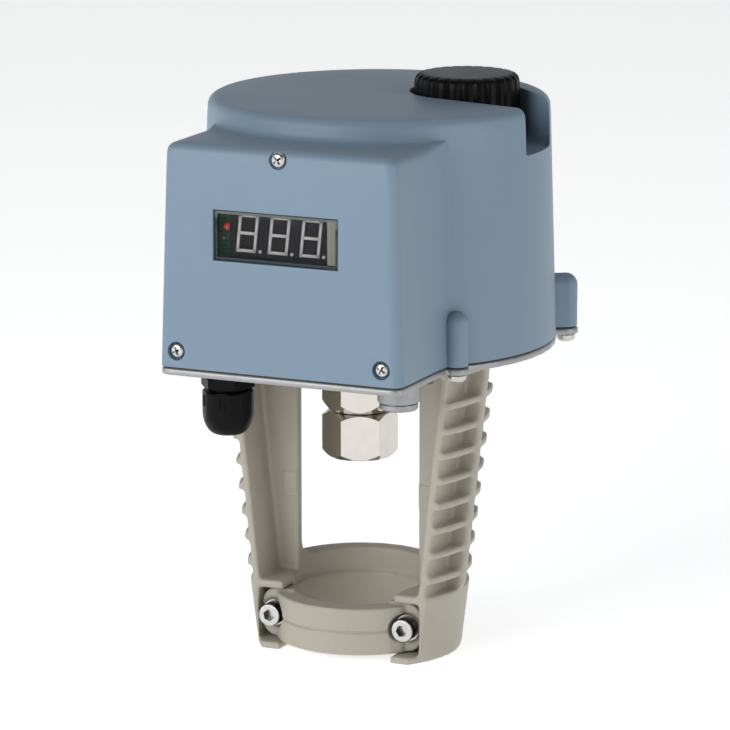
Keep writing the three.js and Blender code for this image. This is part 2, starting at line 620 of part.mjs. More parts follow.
// Die-cast plate: flush rim, ears for the cover screws, two cable entries, a raised stem guide.
function makeBasePlate(parent) {
  const rim = footprint(0, [PLATE_BOTTOM, PLATE_TOP]);
  const ears = bossPad(BOSS_RADIUS + EAR_EXTRA, [PLATE_BOTTOM, PLATE_TOP]);
  const entries = [[-ENTRY_X, GLAND_BOSS], [ENTRY_X, PLUG_BOSS]].map(([x, boss]) =>
    rod(boss.radius, [PLATE_BOTTOM - boss.height, PLATE_TOP - 1], [x, ENTRY_Y], 20));
  const bossSpan = [PLATE_TOP - 1, PLATE_TOP + YOKE_BOSS_HEIGHT];
  const screwBosses = bothSides(join(...[-1, 1].map((side) =>
    rod(YOKE_SCREW_RADIUS + 1, bossSpan, [YOKE_SCREW_X, side * YOKE_SCREW_Y], 12))));
  const guide = rod(STEM_GUIDE.radius, [PLATE_BOTTOM - STEM_GUIDE.height, PLATE_TOP], [0, 0], 24);
  const entryHoles = [-1, 1].map((side) =>
    rod(ENTRY_THREAD_RADIUS + GAP, [PLATE_BOTTOM - 10, PLATE_TOP + 1], [side * ENTRY_X, ENTRY_Y]));
  const screwHoles = [-1, 1].flatMap((sx) => [-1, 1].map((sy) =>
    rod(YOKE_SCREW_SHANK + GAP, [PLATE_BOTTOM - 1, PLATE_TOP + YOKE_BOSS_HEIGHT - 1],
      [sx * YOKE_SCREW_X, sy * YOKE_SCREW_Y], 8)));
  const coverHoles = bossPlaces.map((at) =>
    rod(COVER_SCREW_SHANK + GAP, [PLATE_BOTTOM - 3, PLATE_TOP + 1], at, 8));
  const stemHole = rod(LOWER_BEARING_RADIUS + GAP, [PLATE_BOTTOM - 10, PLATE_TOP + 1], [0, 0], 24);
  const plate = cut(join(rim, ears, ...entries, screwBosses, guide),
    ...entryHoles, ...screwHoles, ...coverHoles, stemHole);
  place("base_plate", plate, castAluminium, parent);
}

// Pan-head screw that points up from z = 0, the seat of its head.
function panScrew(headRadius, headHeight, shankRadius, length, sides = 8) {
  return turned([[0, -headHeight], [headRadius * 0.6, -headHeight], [headRadius, -headHeight * 0.5],
    [headRadius, 0], [shankRadius, 0], [shankRadius, length], [0, length]], sides);
}

function makeCoverScrews(parent) {
  const screw = panScrew(COVER_SCREW_HEAD, PAN_HEIGHT, COVER_SCREW_SHANK, COVER_SCREW_LENGTH);
  bossPlaces.forEach(([x, y], i) => {
    place(`cover_screw_${i + 1}`, screw, stainless, parent, [x, y, PLATE_BOTTOM - GAP]);
  });
}

function makeFrontScrews(parent) {
  const screw = panScrew(FRONT_SCREW_HEAD, FRONT_SCREW_HEIGHT, FRONT_SCREW_SHANK, FRONT_SCREW_LENGTH, 12);
  const across = [-CROSS_WIDTH / 2, CROSS_WIDTH / 2];
  const along = [-CROSS_REACH, CROSS_REACH];
  const deep = [-FRONT_SCREW_HEIGHT - 1, CROSS_DEPTH - FRONT_SCREW_HEIGHT];
  const cross = join(box(across, along, deep), box(along, across, deep));
  const crossHead = cut(screw, cross).rotate([-90, 0, 0]);
  FRONT_SCREWS.forEach(([x, z], i) => {
    place(`front_screw_${i + 1}`, crossHead, stainless, parent, [x, FRONT_SCREW_SEAT - GAP, z]);
  });
}

// ---- display ------------------------------------------------------------------------------------

function makeDisplay(parent) {
  const glassHalf = [WINDOW_WIDTH / 2 - GAP, WINDOW_HEIGHT / 2 - GAP];
  const glassY = FRONT_Y + FRONT_DRAFT + WINDOW_SET_BACK;
  const glass = box([WINDOW_X - glassHalf[0], WINDOW_X + glassHalf[0]], [glassY, glassY + WINDOW_GLASS],
    [WINDOW_Z - glassHalf[1], WINDOW_Z + glassHalf[1]]);
  place("display_window", glass, clearLens, parent);

  const moduleFront = FRONT_INSIDE + 0.5;
  const boardFront = moduleFront + MODULE_DEPTH + GAP;
  const boardBack = boardFront + BOARD_THICKNESS;
  const module = box([MODULE_X - MODULE_WIDTH / 2, MODULE_X + MODULE_WIDTH / 2],
    [moduleFront, moduleFront + MODULE_DEPTH], [WINDOW_Z - MODULE_HEIGHT / 2, WINDOW_Z + MODULE_HEIGHT / 2]);
  place("display_module", module, blackPlastic, parent);
  const ledX = MODULE_X - MODULE_WIDTH / 2 - LED_RADIUS - LED_SPACE;
  const led = rodY(LED_RADIUS, [moduleFront + 2 * GAP, boardFront - GAP], [ledX, WINDOW_Z + LED_RISE], 16);
  place("status_led", led, ledRed, parent);
  const board = box(DISPLAY_BOARD_X, [boardFront, boardBack],
    [WINDOW_Z - DISPLAY_BOARD_HALF_HEIGHT, WINDOW_Z + DISPLAY_BOARD_HALF_HEIGHT]);
  place("display_board", board, boardGreen, parent);

  // Plastic carrier behind the board, with a post round each front screw.
  const back = [boardBack + GAP, boardBack + GAP + CARRIER_THICKNESS];
  const [[, upperZ], [, lowerZ]] = FRONT_SCREWS;
  const foot = lowerZ - CARRIER_RIM;
  const rail = lowerZ + CARRIER_RAIL;
  const shoulder = upperZ - CARRIER_SHOULDER_DROP;
  const { low, high, drop } = CARRIER_OPENING;
  const opening = upperZ - drop;
  const frame = prismY([
    [-CARRIER_HALF_WIDTH, foot], [CARRIER_HALF_WIDTH, foot], [CARRIER_HALF_WIDTH, rail],
    [CARRIER_SHOULDER, shoulder], [CARRIER_NECK, upperZ + 0.2], [-CARRIER_NECK, upperZ + 0.2],
    [-CARRIER_SHOULDER, shoulder], [-CARRIER_HALF_WIDTH, rail],
  ], back);
  const hollow = prismY([[-low, rail], [low, rail], [high, opening], [-high, opening]],
    [back[0] - 1, back[1] + 1]);
  const postSpan = [FRONT_INSIDE + GAP + 0.2, back[1]];
  const posts = FRONT_SCREWS.map(([x, z]) => rodY(POST_RADIUS, postSpan, [x, z - (x ? 0 : 1.2)], 16));
  const bores = FRONT_SCREWS.map((at) =>
    rodY(FRONT_SCREW_SHANK + GAP, [FRONT_INSIDE - 1, back[1] + 1], at, 12));
  const underTop = box([-BODY_RADIUS, BODY_RADIUS], [FRONT_Y, 0],
    [YOKE_HEIGHT, BOX_TOP - COVER_WALL - 2 * GAP]);
  const carrier = cut(join(cut(frame, hollow), ...posts), ...bores);
  place("board_carrier", common(carrier, underTop), blackPlastic, parent);
}

// ---- electronics ----------------------------------------------------------------------------------

function makeElectronics(parent) {
  const lifted = ({ lift, height }) => [PLATE_TOP + lift, PLATE_TOP + lift + height];
  const front = CONTROL_BOARD.front;
  const behind = front + BOARD_THICKNESS + GAP;
  const board = box([-CONTROL_BOARD.halfWidth, CONTROL_BOARD.halfWidth], [front, front + BOARD_THICKNESS],
    lifted(CONTROL_BOARD));
  place("control_board", board, boardGreen, parent);
  const transformer = box(TRANSFORMER.x, [behind, behind + TRANSFORMER.depth], lifted(TRANSFORMER));
  place("transformer", transformer, transformerYellow, parent);
  const capacitor = rodY(CAPACITOR.radius, [behind, behind + CAPACITOR.length],
    [CAPACITOR.x, PLATE_TOP + CAPACITOR.lift], 20);
  place("capacitor", capacitor, blackPlastic, parent);

  const half = TERMINALS.ways * TERMINALS.pitch / 2;
  const [low, high] = lifted(TERMINALS);
  const body = box([-half, half], [front - GAP - TERMINALS.depth, front - GAP], [low, high]);
  const wireHoles = Array.from({ length: TERMINALS.ways }, (_, i) => {
    const x = (i + 0.5) * TERMINALS.pitch - half;
    return box([x - WIRE_HOLE.width / 2, x + WIRE_HOLE.width / 2],
      [front - WIRE_HOLE.front, front - WIRE_HOLE.back], [low - 1, low + WIRE_HOLE.depth]);
  });
  place("terminal_block", cut(body, ...wireHoles), terminalGreen, parent);
}

// ---- yoke -----------------------------------------------------------------------------------------

const alongColumn = (z) => (z - RIB_FIRST_Z) / (YOKE_HEIGHT - RIB_FIRST_Z);
const ribRadius = (z) => THREE.MathUtils.lerp(RIB_RADIUS_BOTTOM, RIB_RADIUS_TOP + 1, alongColumn(z));
const wallX = (z) => THREE.MathUtils.lerp(WALL_X_BOTTOM, WALL_X_TOP + 1, alongColumn(z));

// One column: a web on the stem plane, a cross wall, and ribs stacked outside the wall.
function column() {
  const base = COLUMN_FOOT;
  const top = YOKE_HEIGHT - 1;
  const heel = RIB_FIRST_Z - 4;
  const spine = (z) => ribRadius(z) + SPINE_EXTRA;
  const web = prismY([[COLUMN_INNER_X, base], [spine(base) - 6, base], [spine(heel), heel],
    [spine(top), top], [COLUMN_INNER_X, top]], [-WEB_THICKNESS / 2, WEB_THICKNESS / 2]);
  const wall = prismY([[wallX(base), base], [wallX(base) + WALL_THICKNESS, base],
    [wallX(top) + WALL_THICKNESS, top], [wallX(top), top]], [-COLUMN_HALF_DEPTH, COLUMN_HALF_DEPTH]);
  const depth = COLUMN_HALF_DEPTH;
  const ribs = Array.from({ length: RIB_COUNT }, (_, i) => {
    const z = RIB_FIRST_Z + RIB_PITCH * i;
    const radius = ribRadius(z);
    const reach = deg(Math.asin(depth / radius));
    const inner = wallX(z) + WALL_THICKNESS / 2;
    return prism([[inner, -depth], ...arc([0, 0], radius, -reach, reach, 5), [inner, depth]],
      [z - RIB_THICKNESS / 2, z + RIB_THICKNESS / 2]);
  });
  const padX = COLUMN_INNER_X + 0.6;
  const padTop = YOKE_HEIGHT - COLUMN_PAD.drop;
  const pad = box([padX, padX + COLUMN_PAD.width], [-WEB_THICKNESS / 2 - COLUMN_PAD.rise, 0],
    [padTop - COLUMN_PAD.height, padTop]);
  return join(web, wall, ...ribs, pad);
}

function makeYoke(parent) {
  const columns = bothSides(column());

  // Lower block: cheeks with a turned outside, and the back half of the neck ring.
  const block = rod(CHEEK_RADIUS_BOTTOM, [0, CHEEK_HEIGHT], [0, 0], 48, CHEEK_RADIUS_TOP);
  const cheeks = common(block, box([-FAR, FAR], [FOOT_FRONT_Y, COLUMN_HALF_DEPTH], [0, CHEEK_HEIGHT]));
  const backRing = common(rod(CLAMP_OUTER_RADIUS, [0, BACK_WALL_HEIGHT], [0, 0], 48),
    box([-FAR, FAR], [0, FAR], [0, BACK_WALL_HEIGHT]));
  const seatHalf = LUG_OUTER_X + GAP;
  const seat = box([-seatHalf, seatHalf], [-FAR, LUG_BACK_Y + GAP], [CLAMP_BOTTOM - GAP, LUG_TOP + GAP]);
  const mouth = box([-CHEEK_INNER_X, CHEEK_INNER_X], [-FAR, LUG_BACK_Y + GAP], [-1, CHEEK_HEIGHT + 1]);
  const upperInside = common(rod(NECK_RADIUS + NECK_RELIEF, [CLAMP_TOP, CHEEK_HEIGHT + 5], [0, 0], 48),
    box([-FAR, FAR], [-FAR, FAR], [CLAMP_TOP, CHEEK_HEIGHT + 5]));
  const neck = rod(NECK_RADIUS, [-1, CHEEK_HEIGHT + 5], [0, 0], 48);
  const cheekFace = box([-FAR, FAR], [-FAR, -COLUMN_HALF_DEPTH], [CLAMP_BOTTOM - GAP, CHEEK_HEIGHT + 1]);
  const threads = [-1, 1].map((side) =>
    rodY(CLAMP_SHANK_RADIUS + GAP, [LUG_BACK_Y - 2, LUG_BACK_Y + CLAMP_THREAD_DEPTH],
      [side * CLAMP_SCREW_X, CLAMP_SCREW_Z], 10));
  const lower = cut(join(cheeks, backRing), mouth, cheekFace);

  // Top flange with its bolt pads and the opening over the stem.
  const flangeSpan = [YOKE_HEIGHT - FLANGE_THICKNESS, YOKE_HEIGHT];
  const flange = common(rod(FLANGE_RADIUS, flangeSpan, [0, 0], 48),
    box([-FAR, FAR], [-FLANGE_HALF_DEPTH, FLANGE_HALF_DEPTH], flangeSpan));
  const pads = bothSides(join(...[-1, 1].map((side) =>
    rod(YOKE_SCREW_RADIUS + YOKE_SCREW_PAD, [YOKE_HEIGHT - FLANGE_THICKNESS - YOKE_PAD_HEIGHT, YOKE_HEIGHT],
      [YOKE_SCREW_X, side * YOKE_SCREW_Y], 12))));
  const flangeHole = rod(FLANGE_HOLE_RADIUS, [YOKE_HEIGHT - 20, YOKE_HEIGHT + 1], [0, 0], 32);
  const boltHoles = [-1, 1].flatMap((sx) => [-1, 1].map((sy) =>
    rod(YOKE_SCREW_SHANK + GAP, [YOKE_HEIGHT - 12, YOKE_HEIGHT + 1],
      [sx * YOKE_SCREW_X, sy * YOKE_SCREW_Y], 8)));
  const yoke = cut(join(columns, lower, flange, pads),
    seat, neck, upperInside, flangeHole, ...boltHoles, ...threads);
  place("yoke", yoke, yokeBeige, parent);
}

function makeYokeScrews(parent) {
  const seatZ = YOKE_HEIGHT - FLANGE_THICKNESS - YOKE_PAD_HEIGHT - GAP;
  const length = PLATE_TOP + 2 - seatZ;
  const screw = panScrew(YOKE_SCREW_RADIUS, PAN_HEIGHT, YOKE_SCREW_SHANK, length);
  [[1, -1], [-1, -1], [1, 1], [-1, 1]].forEach(([sx, sy], i) => {
    place(`yoke_screw_${i + 1}`, screw, stainless, parent, [sx * YOKE_SCREW_X, sy * YOKE_SCREW_Y, seatZ]);
  });
}

// ---- clamp ----------------------------------------------------------------------------------------

function makeClamp(parent) {
  const span = [CLAMP_BOTTOM, CLAMP_TOP];
  const half = (LUG_INNER_X + LUG_OUTER_X) / 2;
  const front = box([-half, half], [-FAR, LUG_BACK_Y], span);
  const bar = common(rod(CLAMP_OUTER_RADIUS, span, [0, 0], 48), front);
  const midZ = (CLAMP_BOTTOM + CLAMP_TOP) / 2;
  const groove = tube(CLAMP_OUTER_RADIUS + 2, CLAMP_OUTER_RADIUS - CLAMP_GROOVE,
    [midZ - CLAMP_GROOVE / 2, midZ + CLAMP_GROOVE / 2], [0, 0], 48);
  const corner = LUG_ROUNDING;
  const lug = prismY([[LUG_INNER_X, LUG_BOTTOM],
    ...arc([LUG_OUTER_X - corner, LUG_BOTTOM + corner], corner, -90, 0, 5),
    ...arc([LUG_OUTER_X - corner, LUG_TOP - corner], corner, 0, 90, 5),
    [LUG_INNER_X, LUG_TOP]], [LUG_FRONT_Y, LUG_BACK_Y]);
  const neck = rod(NECK_RADIUS, [-1, LUG_TOP + 1], [0, 0], 48);
  const seatY = LUG_FRONT_Y + SPOTFACE_DEPTH;
  const holes = [-1, 1].flatMap((side) => [
    rodY(SPOTFACE_RADIUS, [LUG_FRONT_Y - 16, seatY], [side * CLAMP_SCREW_X, CLAMP_SCREW_Z], 20),
    rodY(CLAMP_SHANK_RADIUS + GAP, [LUG_FRONT_Y, LUG_BACK_Y + 1], [side * CLAMP_SCREW_X, CLAMP_SCREW_Z], 10),
  ]);
  place("clamp_bar", cut(join(cut(bar, groove), bothSides(lug)), neck, ...holes), yokeBeige, parent);

  const washerY = [seatY - GAP - WASHER_THICKNESS, seatY - GAP];
  const washer = cut(rodY(CLAMP_HEAD_RADIUS + WASHER_EXTRA, washerY, [0, 0], 20),
    rodY(CLAMP_SHANK_RADIUS + GAP, [washerY[0] - 1, washerY[1] + 1], [0, 0], 10));
  const headY = [washerY[0] - GAP - CLAMP_HEAD_LENGTH, washerY[0] - GAP];
  const socket = prismY(hexagon(CLAMP_HEX, 0), [headY[0] - 1, headY[0] + CLAMP_HEX_DEPTH]);
  const screw = cut(join(rodY(CLAMP_HEAD_RADIUS, headY, [0, 0], 20),
    rodY(CLAMP_SHANK_RADIUS, [headY[1] - 0.5, headY[1] + CLAMP_SCREW_LENGTH], [0, 0], 10)), socket);
  [["left", -1], ["right", 1]].forEach(([name, side]) => {
    const at = [side * CLAMP_SCREW_X, 0, CLAMP_SCREW_Z];
    place(`clamp_washer_${name}`, washer, stainless, parent, at);
    place(`clamp_screw_${name}`, screw, stainless, parent, at);
  });
}

// ---- cable entries ----------------------------------------------------------------------------------

function makeEntries(parent) {
  const faceZ = PLATE_BOTTOM - GLAND_BOSS.height - GAP;
  const gland = group(parent, [-ENTRY_X, ENTRY_Y, faceZ]);
  const inside = PLATE_TOP - faceZ;
  const hexFlange = hexBlank(GLAND_ACROSS_FLATS, [-GLAND_FLANGE, 0], GLAND_TURN, 0.5);
  const cageBottom = -GLAND_FLANGE - 3.6;
  const body = cut(
    join(hexFlange, rod(ENTRY_THREAD_RADIUS, [-0.5, inside + 7]), rod(GLAND_SOCKET, [cageBottom, -2.5])),
    rod(GLAND_BORE + 0.8, [-20, inside + 8], [0, 0], 12));
  place("gland_body", body, blackPlastic, gland);

  const capTop = -GLAND_FLANGE - GLAND_CAP_GAP;
  const capBottom = capTop - GLAND_CAP_LENGTH;
  const widest = GLAND_CAP_RADIUS;
  const capBlank = common(prism(hexagon(GLAND_ACROSS_FLATS, GLAND_TURN), [capBottom - 1, capTop + 0.5]),
    turned([[0, capBottom], [widest - 5.1, capBottom], [widest - 2.3, capBottom + 1.5],
      [widest - 0.6, capBottom + 5], [widest, capBottom + 9], [widest, capTop], [0, capTop]], 24));
  const sealTop = cageBottom - GAP;
  const sealBottom = sealTop - 1.2;
  const cap = cut(capBlank, rod(GLAND_SOCKET + 2 * GAP, [sealBottom - GAP, -3]),
    rod(GLAND_BORE, [capBottom - 1, -7], [0, 0], 12));
  place("gland_cap", cap, blackPlastic, gland);
  place("gland_seal", tube(GLAND_SOCKET, SEAL_INNER_RADIUS, [sealBottom, sealTop], [0, 0], 12),
    blackRubber, gland);
  const nut = hexBlank(LOCKNUT_ACROSS_FLATS, [inside + GAP, inside + GAP + LOCKNUT_HEIGHT], 0, 0.6);
  place("gland_locknut", cut(nut, rod(ENTRY_THREAD_RADIUS + GAP, [0, 30])), nickel, gland);

  const plugZ = PLATE_BOTTOM - PLUG_BOSS.height - GAP;
  const plug = join(rod(PLUG_BOSS.radius - PLUG_HEAD_INSET, [-PLUG_HEAD_HEIGHT, 0], [0, 0], 24),
    rod(ENTRY_THREAD_RADIUS, [-0.5, PLATE_TOP - plugZ + 2]));
  const slot = box([-PLUG_SLOT.half, PLUG_SLOT.half], [-PLUG_SLOT.width / 2, PLUG_SLOT.width / 2],
    [-PLUG_HEAD_HEIGHT - 1, PLUG_SLOT.depth - PLUG_HEAD_HEIGHT]);
  place("blanking_plug", cut(plug, slot), castAluminium, group(parent, [ENTRY_X, ENTRY_Y, plugZ]));
}

// ---- stem and coupling --------------------------------------------------------------------------------

function makeStem(parent) {
  const stem = group(parent);
  const seat = NUT_BOTTOM + NUT_HEIGHT - STEM_SEAT;
  const lockBottom = NUT_BOTTOM + NUT_HEIGHT + LOCK_NUT_GAP;
  const lockTop = lockBottom + LOCK_NUT_HEIGHT;
  const shaft = turned([[0, seat], [STEM_RADIUS - STEM_EDGE, seat], [STEM_RADIUS, seat + STEM_EDGE],
    [STEM_RADIUS, STEM_TOP - STEM_EDGE], [STEM_RADIUS - STEM_EDGE, STEM_TOP], [0, STEM_TOP]]);
  place("spindle", shaft, stainless, stem);
  const lock = cut(join(hexBlank(NUT_ACROSS_FLATS, [lockBottom, lockTop], NUT_TURN,
    LOCK_NUT_CHAMFER, HEX_CHAMFER),
    rod(COUPLING_NECK_RADIUS, [lockTop - 0.5, lockTop + COUPLING_NECK_HEIGHT], [0, 0], 20)),
    rod(STEM_RADIUS + GAP, [0, STEM_TOP], [0, 0], 20));
  place("lock_nut", lock, nickel, stem);

  // Arm that keeps the spindle from turning and trips the switches at both ends of the stroke.
  const armZ = [GEAR_PLATE_Z + ARM_RISE, GEAR_PLATE_Z + ARM_RISE + ARM_THICKNESS];
  const past = [armZ[0] - 1, armZ[1] + 1];
  const lever = box([-ARM_HALF_WIDTH, ARM_HALF_WIDTH], [-ARM_REACH, -8], armZ);
  const rodSlot = GUIDE_ROD.radius + 0.4;
  const fork = box([-rodSlot, rodSlot], [-30, GUIDE_ROD.y + GUIDE_ROD.radius + 0.6], past);
  const arm = cut(join(rod(ARM_RADIUS, armZ, [0, 0], 20), lever),
    rod(STEM_RADIUS + GAP, past, [0, 0], 20), fork);
  place("trip_arm", arm, zincSteel, stem);
  const clipBottom = armZ[1] + GAP;
  const clip = tube(CLIP_RADIUS, STEM_RADIUS + GAP, [clipBottom, clipBottom + CLIP_THICKNESS], [0, 0], 20);
  place("arm_clip", clip, zincSteel, stem);
}

function makeUnionNut(parent) {
  const span = [NUT_BOTTOM, NUT_BOTTOM + NUT_HEIGHT];
  const blank = hexBlank(NUT_ACROSS_FLATS, span, NUT_TURN, HEX_CHAMFER);
  const bore = rod(NUT_BORE_RADIUS, [span[0] - 1, span[1] + 1], [0, 0], 20);
  place("union_nut", cut(blank, bore), nickel, group(parent));
}

// ---- gear train ---------------------------------------------------------------------------------------

function makeDriveGear(parent) {
  const hub = rod(HUB_RADIUS, [PLATE_BOTTOM - BEARING_STEP, GEAR_PLATE_TOP], [0, 0], 20);
  const teeth = prism(gearOutline(DRIVE_TEETH, MODULE_COARSE, 0), [DRIVE_GEAR_Z, DRIVE_GEAR_TOP]);
  const bore = rod(STEM_RADIUS + RUNNING_GAP, [0, GEAR_PLATE_TOP + 1], [0, 0], 20);
  place("drive_gear", cut(join(teeth, hub), bore), brass, group(parent));
}

// Angle at which a gear must start so that its teeth sit in the gaps of a neighbour whose
// tooth is centred on neighbourStart. Both angles are measured from +X.
function meshStart(teeth, neighbourTeeth, neighbourStart, lineAngle) {
  const neighbourPhase = (lineAngle - neighbourStart) / (360 / neighbourTeeth);
  return lineAngle + 180 + (neighbourPhase - 0.5) * (360 / teeth);
}

const pinionStart = meshStart(PINION_TEETH, DRIVE_TEETH, 0, WHEEL_ANGLE);
const motorStart = meshStart(MOTOR_TEETH, WHEEL_TEETH, 0, MOTOR_ANGLE);
const knobStart = meshStart(KNOB_TEETH, DRIVE_TEETH, 0, KNOB_ANGLE);

function makeIntermediate(root, train) {
  const shaft = rod(WHEEL_SHAFT_RADIUS, [PLATE_TOP + GAP, GEAR_PLATE_TOP - GAP], [0, 0], 16);
  place("wheel_shaft", shaft, stainless, root, [WHEEL_X, WHEEL_Y, 0]);
  const wheel = prism(gearOutline(WHEEL_TEETH, MODULE_FINE, 0), [WHEEL_Z, WHEEL_Z + WHEEL_FACE]);
  const pinion = prism(gearOutline(PINION_TEETH, MODULE_COARSE, pinionStart),
    [DRIVE_GEAR_Z - TOOTH_OVERLAP, WHEEL_Z + TOOTH_OVERLAP]);
  const hub = rod(WHEEL_HUB.radius, [PLATE_TOP + WHEEL_HUB.lift, DRIVE_GEAR_Z], [0, 0], 20);
  const bore = rod(WHEEL_SHAFT_RADIUS + RUNNING_GAP, [0, GEAR_PLATE_TOP], [0, 0], 16);
  place("intermediate_gear", cut(join(wheel, pinion, hub), bore), gearNylon, train, [WHEEL_X, WHEEL_Y, 0]);
}

function makeMotor(root, rotor) {
  const base = GEAR_PLATE_TOP + GAP;
  const top = base + MOTOR_HEIGHT;
  const at = [MOTOR_X, MOTOR_Y, 0];
  const can = join(rod(MOTOR_RADIUS, [base, top], [0, 0], 28),
    rod(MOTOR_NECK.radius, [top - 0.5, top + MOTOR_NECK.length], [0, 0], 20));
  const bore = rod(MOTOR_SHAFT_RADIUS + RUNNING_GAP, [base - 1, top - 4], [0, 0], 16);
  place("motor", cut(can, bore), zincSteel, root, at);
  const teeth = prism(gearOutline(MOTOR_TEETH, MODULE_FINE, motorStart),
    [WHEEL_Z - TOOTH_OVERLAP, WHEEL_Z + WHEEL_FACE + TOOTH_OVERLAP]);
  const pinion = join(teeth, rod(MOTOR_SHAFT_RADIUS, [WHEEL_Z, top - 6], [0, 0], 16));
  place("motor_pinion", pinion, brass, rotor, at);
}

function makeFrame(root) {
  const span = [GEAR_PLATE_Z, GEAR_PLATE_TOP];
  const through = [span[0] - 1, span[1] + 1];
  const outline = common(rod(GEAR_PLATE_RADIUS, span, [0, BODY_CENTRE_Y], 40),
    box([-BODY_RADIUS, BODY_RADIUS], [GEAR_PLATE_FRONT, BODY_CENTRE_Y + BODY_RADIUS], span));
  const holes = [
    rod(UPPER_BEARING_RADIUS + GAP, through, [0, 0], 24),
    rod(MOTOR_PLATE_HOLE, through, [MOTOR_X, MOTOR_Y], 20),
    rod(KNOB_SHAFT_RADIUS + RUNNING_GAP, through, [KNOB_X, KNOB_Y], 20),
    rod(WHEEL_SHAFT_RADIUS + GAP, through, [WHEEL_X, WHEEL_Y], 16),
    ...PILLARS.map((at) => rod(PILLAR_PIN.radius + GAP, through, at, 12)),
    rod(GUIDE_ROD.radius + GAP, through, [0, GUIDE_ROD.y], 12),
  ];
  place("gear_plate", cut(outline, ...holes), zincSteel, root);
  PILLARS.forEach(([x, y], i) => {
    const pillar = join(rod(PILLAR_RADIUS, [PLATE_TOP + GAP, span[0] - GAP], [0, 0], 16),
      rod(PILLAR_PIN.radius, [span[0] - 0.5, span[1] + PILLAR_PIN.length], [0, 0], 12));
    place(`gear_plate_pillar_${i + 1}`, pillar, zincSteel, root, [x, y, 0]);
  });
  const lowerSpan = [PLATE_BOTTOM - BEARING_STEP, PLATE_TOP + BEARING_STEP];
  place("lower_bearing", tube(LOWER_BEARING_RADIUS, HUB_RADIUS + RUNNING_GAP, lowerSpan), stainless, root);
  place("upper_bearing", tube(UPPER_BEARING_RADIUS, HUB_RADIUS + RUNNING_GAP, span), stainless, root);
}

function makeSwitches(root) {
  const base = GEAR_PLATE_TOP + GAP;
  const guide = rod(GUIDE_ROD.radius, [GEAR_PLATE_Z, GEAR_PLATE_Z + GUIDE_ROD.rise], [0, GUIDE_ROD.y], 16);
  place("guide_rod", guide, stainless, root);
  const [back, front] = BRACKET.foot;
  const bracket = join(box(BRACKET.x, [back, front], [base, base + BRACKET.thickness]),
    box(BRACKET.x, [back, back + 1.5], [base, GEAR_PLATE_Z + BRACKET.rise]));
  place("switch_bracket", bracket, zincSteel, root);
  Object.entries(SWITCH_LIFTS).forEach(([name, lift]) => {
    const z = base + lift;
    const button = z + SWITCH_BUTTON.lift;
    const body = join(box(SWITCH.x, SWITCH.y, [z, z + SWITCH.height]),
      box(SWITCH_BUTTON.x, SWITCH_BUTTON.y, [button, button + SWITCH_BUTTON.height]));
    place(`limit_switch_${name}`, body, blackPlastic, root);
  });
}

// ---- knob ---------------------------------------------------------------------------------------------

function fluted(radius, depth, flutes) {
  const steps = 3;
  return Array.from({ length: flutes * steps }, (_, i) =>
    polar(radius - (i % steps === 0 ? depth : 0), 360 * i / (flutes * steps)));
}

function makeKnob(parent) {
  const knob = group(parent, [KNOB_X, KNOB_Y, 0]);
  const bottom = RECESS_FLOOR + KNOB_LIFT;
  const edge = KNOB_EDGE;
  const crown = turned([[0, bottom], [KNOB_RADIUS, bottom], [KNOB_RADIUS, KNOB_TOP - edge],
    [KNOB_RADIUS - edge * 0.3, KNOB_TOP - edge * 0.3], [KNOB_RADIUS - edge, KNOB_TOP], [0, KNOB_TOP]], 36);
  const grip = common(prism(fluted(KNOB_RADIUS, FLUTE_DEPTH, KNOB_FLUTES), [bottom, KNOB_TOP]), crown);
  const socket = rod(KNOB_SHAFT_RADIUS + GAP, [0, KNOB_TOP - KNOB_CAP], [0, 0], 20);
  place("hand_knob", cut(grip, socket), blackPlastic, knob);
  const shaft = rod(KNOB_SHAFT_RADIUS, [PLATE_TOP + GAP, KNOB_TOP - KNOB_CAP - GAP], [0, 0], 20);
  place("knob_shaft", shaft, stainless, knob);
  const teeth = prism(gearOutline(KNOB_TEETH, MODULE_COARSE, knobStart), [DRIVE_GEAR_Z, DRIVE_GEAR_TOP]);
  const hub = rod(KNOB_HUB.radius, [DRIVE_GEAR_Z - KNOB_HUB.drop, DRIVE_GEAR_Z + 1], [0, 0], 20);
  const gearBore = rod(KNOB_SHAFT_RADIUS + GAP, [0, DRIVE_GEAR_TOP + 1], [0, 0], 20);
  place("knob_gear", cut(join(teeth, hub), gearBore), gearNylon, knob);
  const seal = tube(KNOB_SHAFT_RADIUS + SEAL_WALL, KNOB_SHAFT_RADIUS + RUNNING_GAP,
    [RECESS_FLOOR - RECESS_WALL, RECESS_FLOOR + 2 * GAP], [0, 0], 20);
  place("shaft_seal", seal, blackRubber, group(parent, [KNOB_X, KNOB_Y, 0]));
}

// ---- assembly -------------------------------------------------------------------------------------------

const housing = group();
const driveTrain = group();
makeCover(housing);
makeGasket(housing);
makeBasePlate(housing);
makeCoverScrews(housing);
makeFrontScrews(housing);
makeDisplay(housing);
makeElectronics(housing);
makeYoke(housing);
makeYokeScrews(housing);
makeClamp(housing);
makeEntries(housing);
makeFrame(housing);
makeSwitches(housing);
makeStem(driveTrain);
makeUnionNut(driveTrain);
makeDriveGear(driveTrain);
makeIntermediate(housing, driveTrain);
makeMotor(housing, driveTrain);
makeKnob(driveTrain);

export default actuator;
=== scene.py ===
# Electric valve actuator: a moulded cover with display and hand knob on a die-cast base plate, over
# a ribbed die-cast yoke with a neck clamp. Every size is in metres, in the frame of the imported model.
from math import atan2, cos, degrees, hypot, pi, radians, sin, sqrt, tan

import bmesh
import bpy
from mathutils import Matrix, Vector


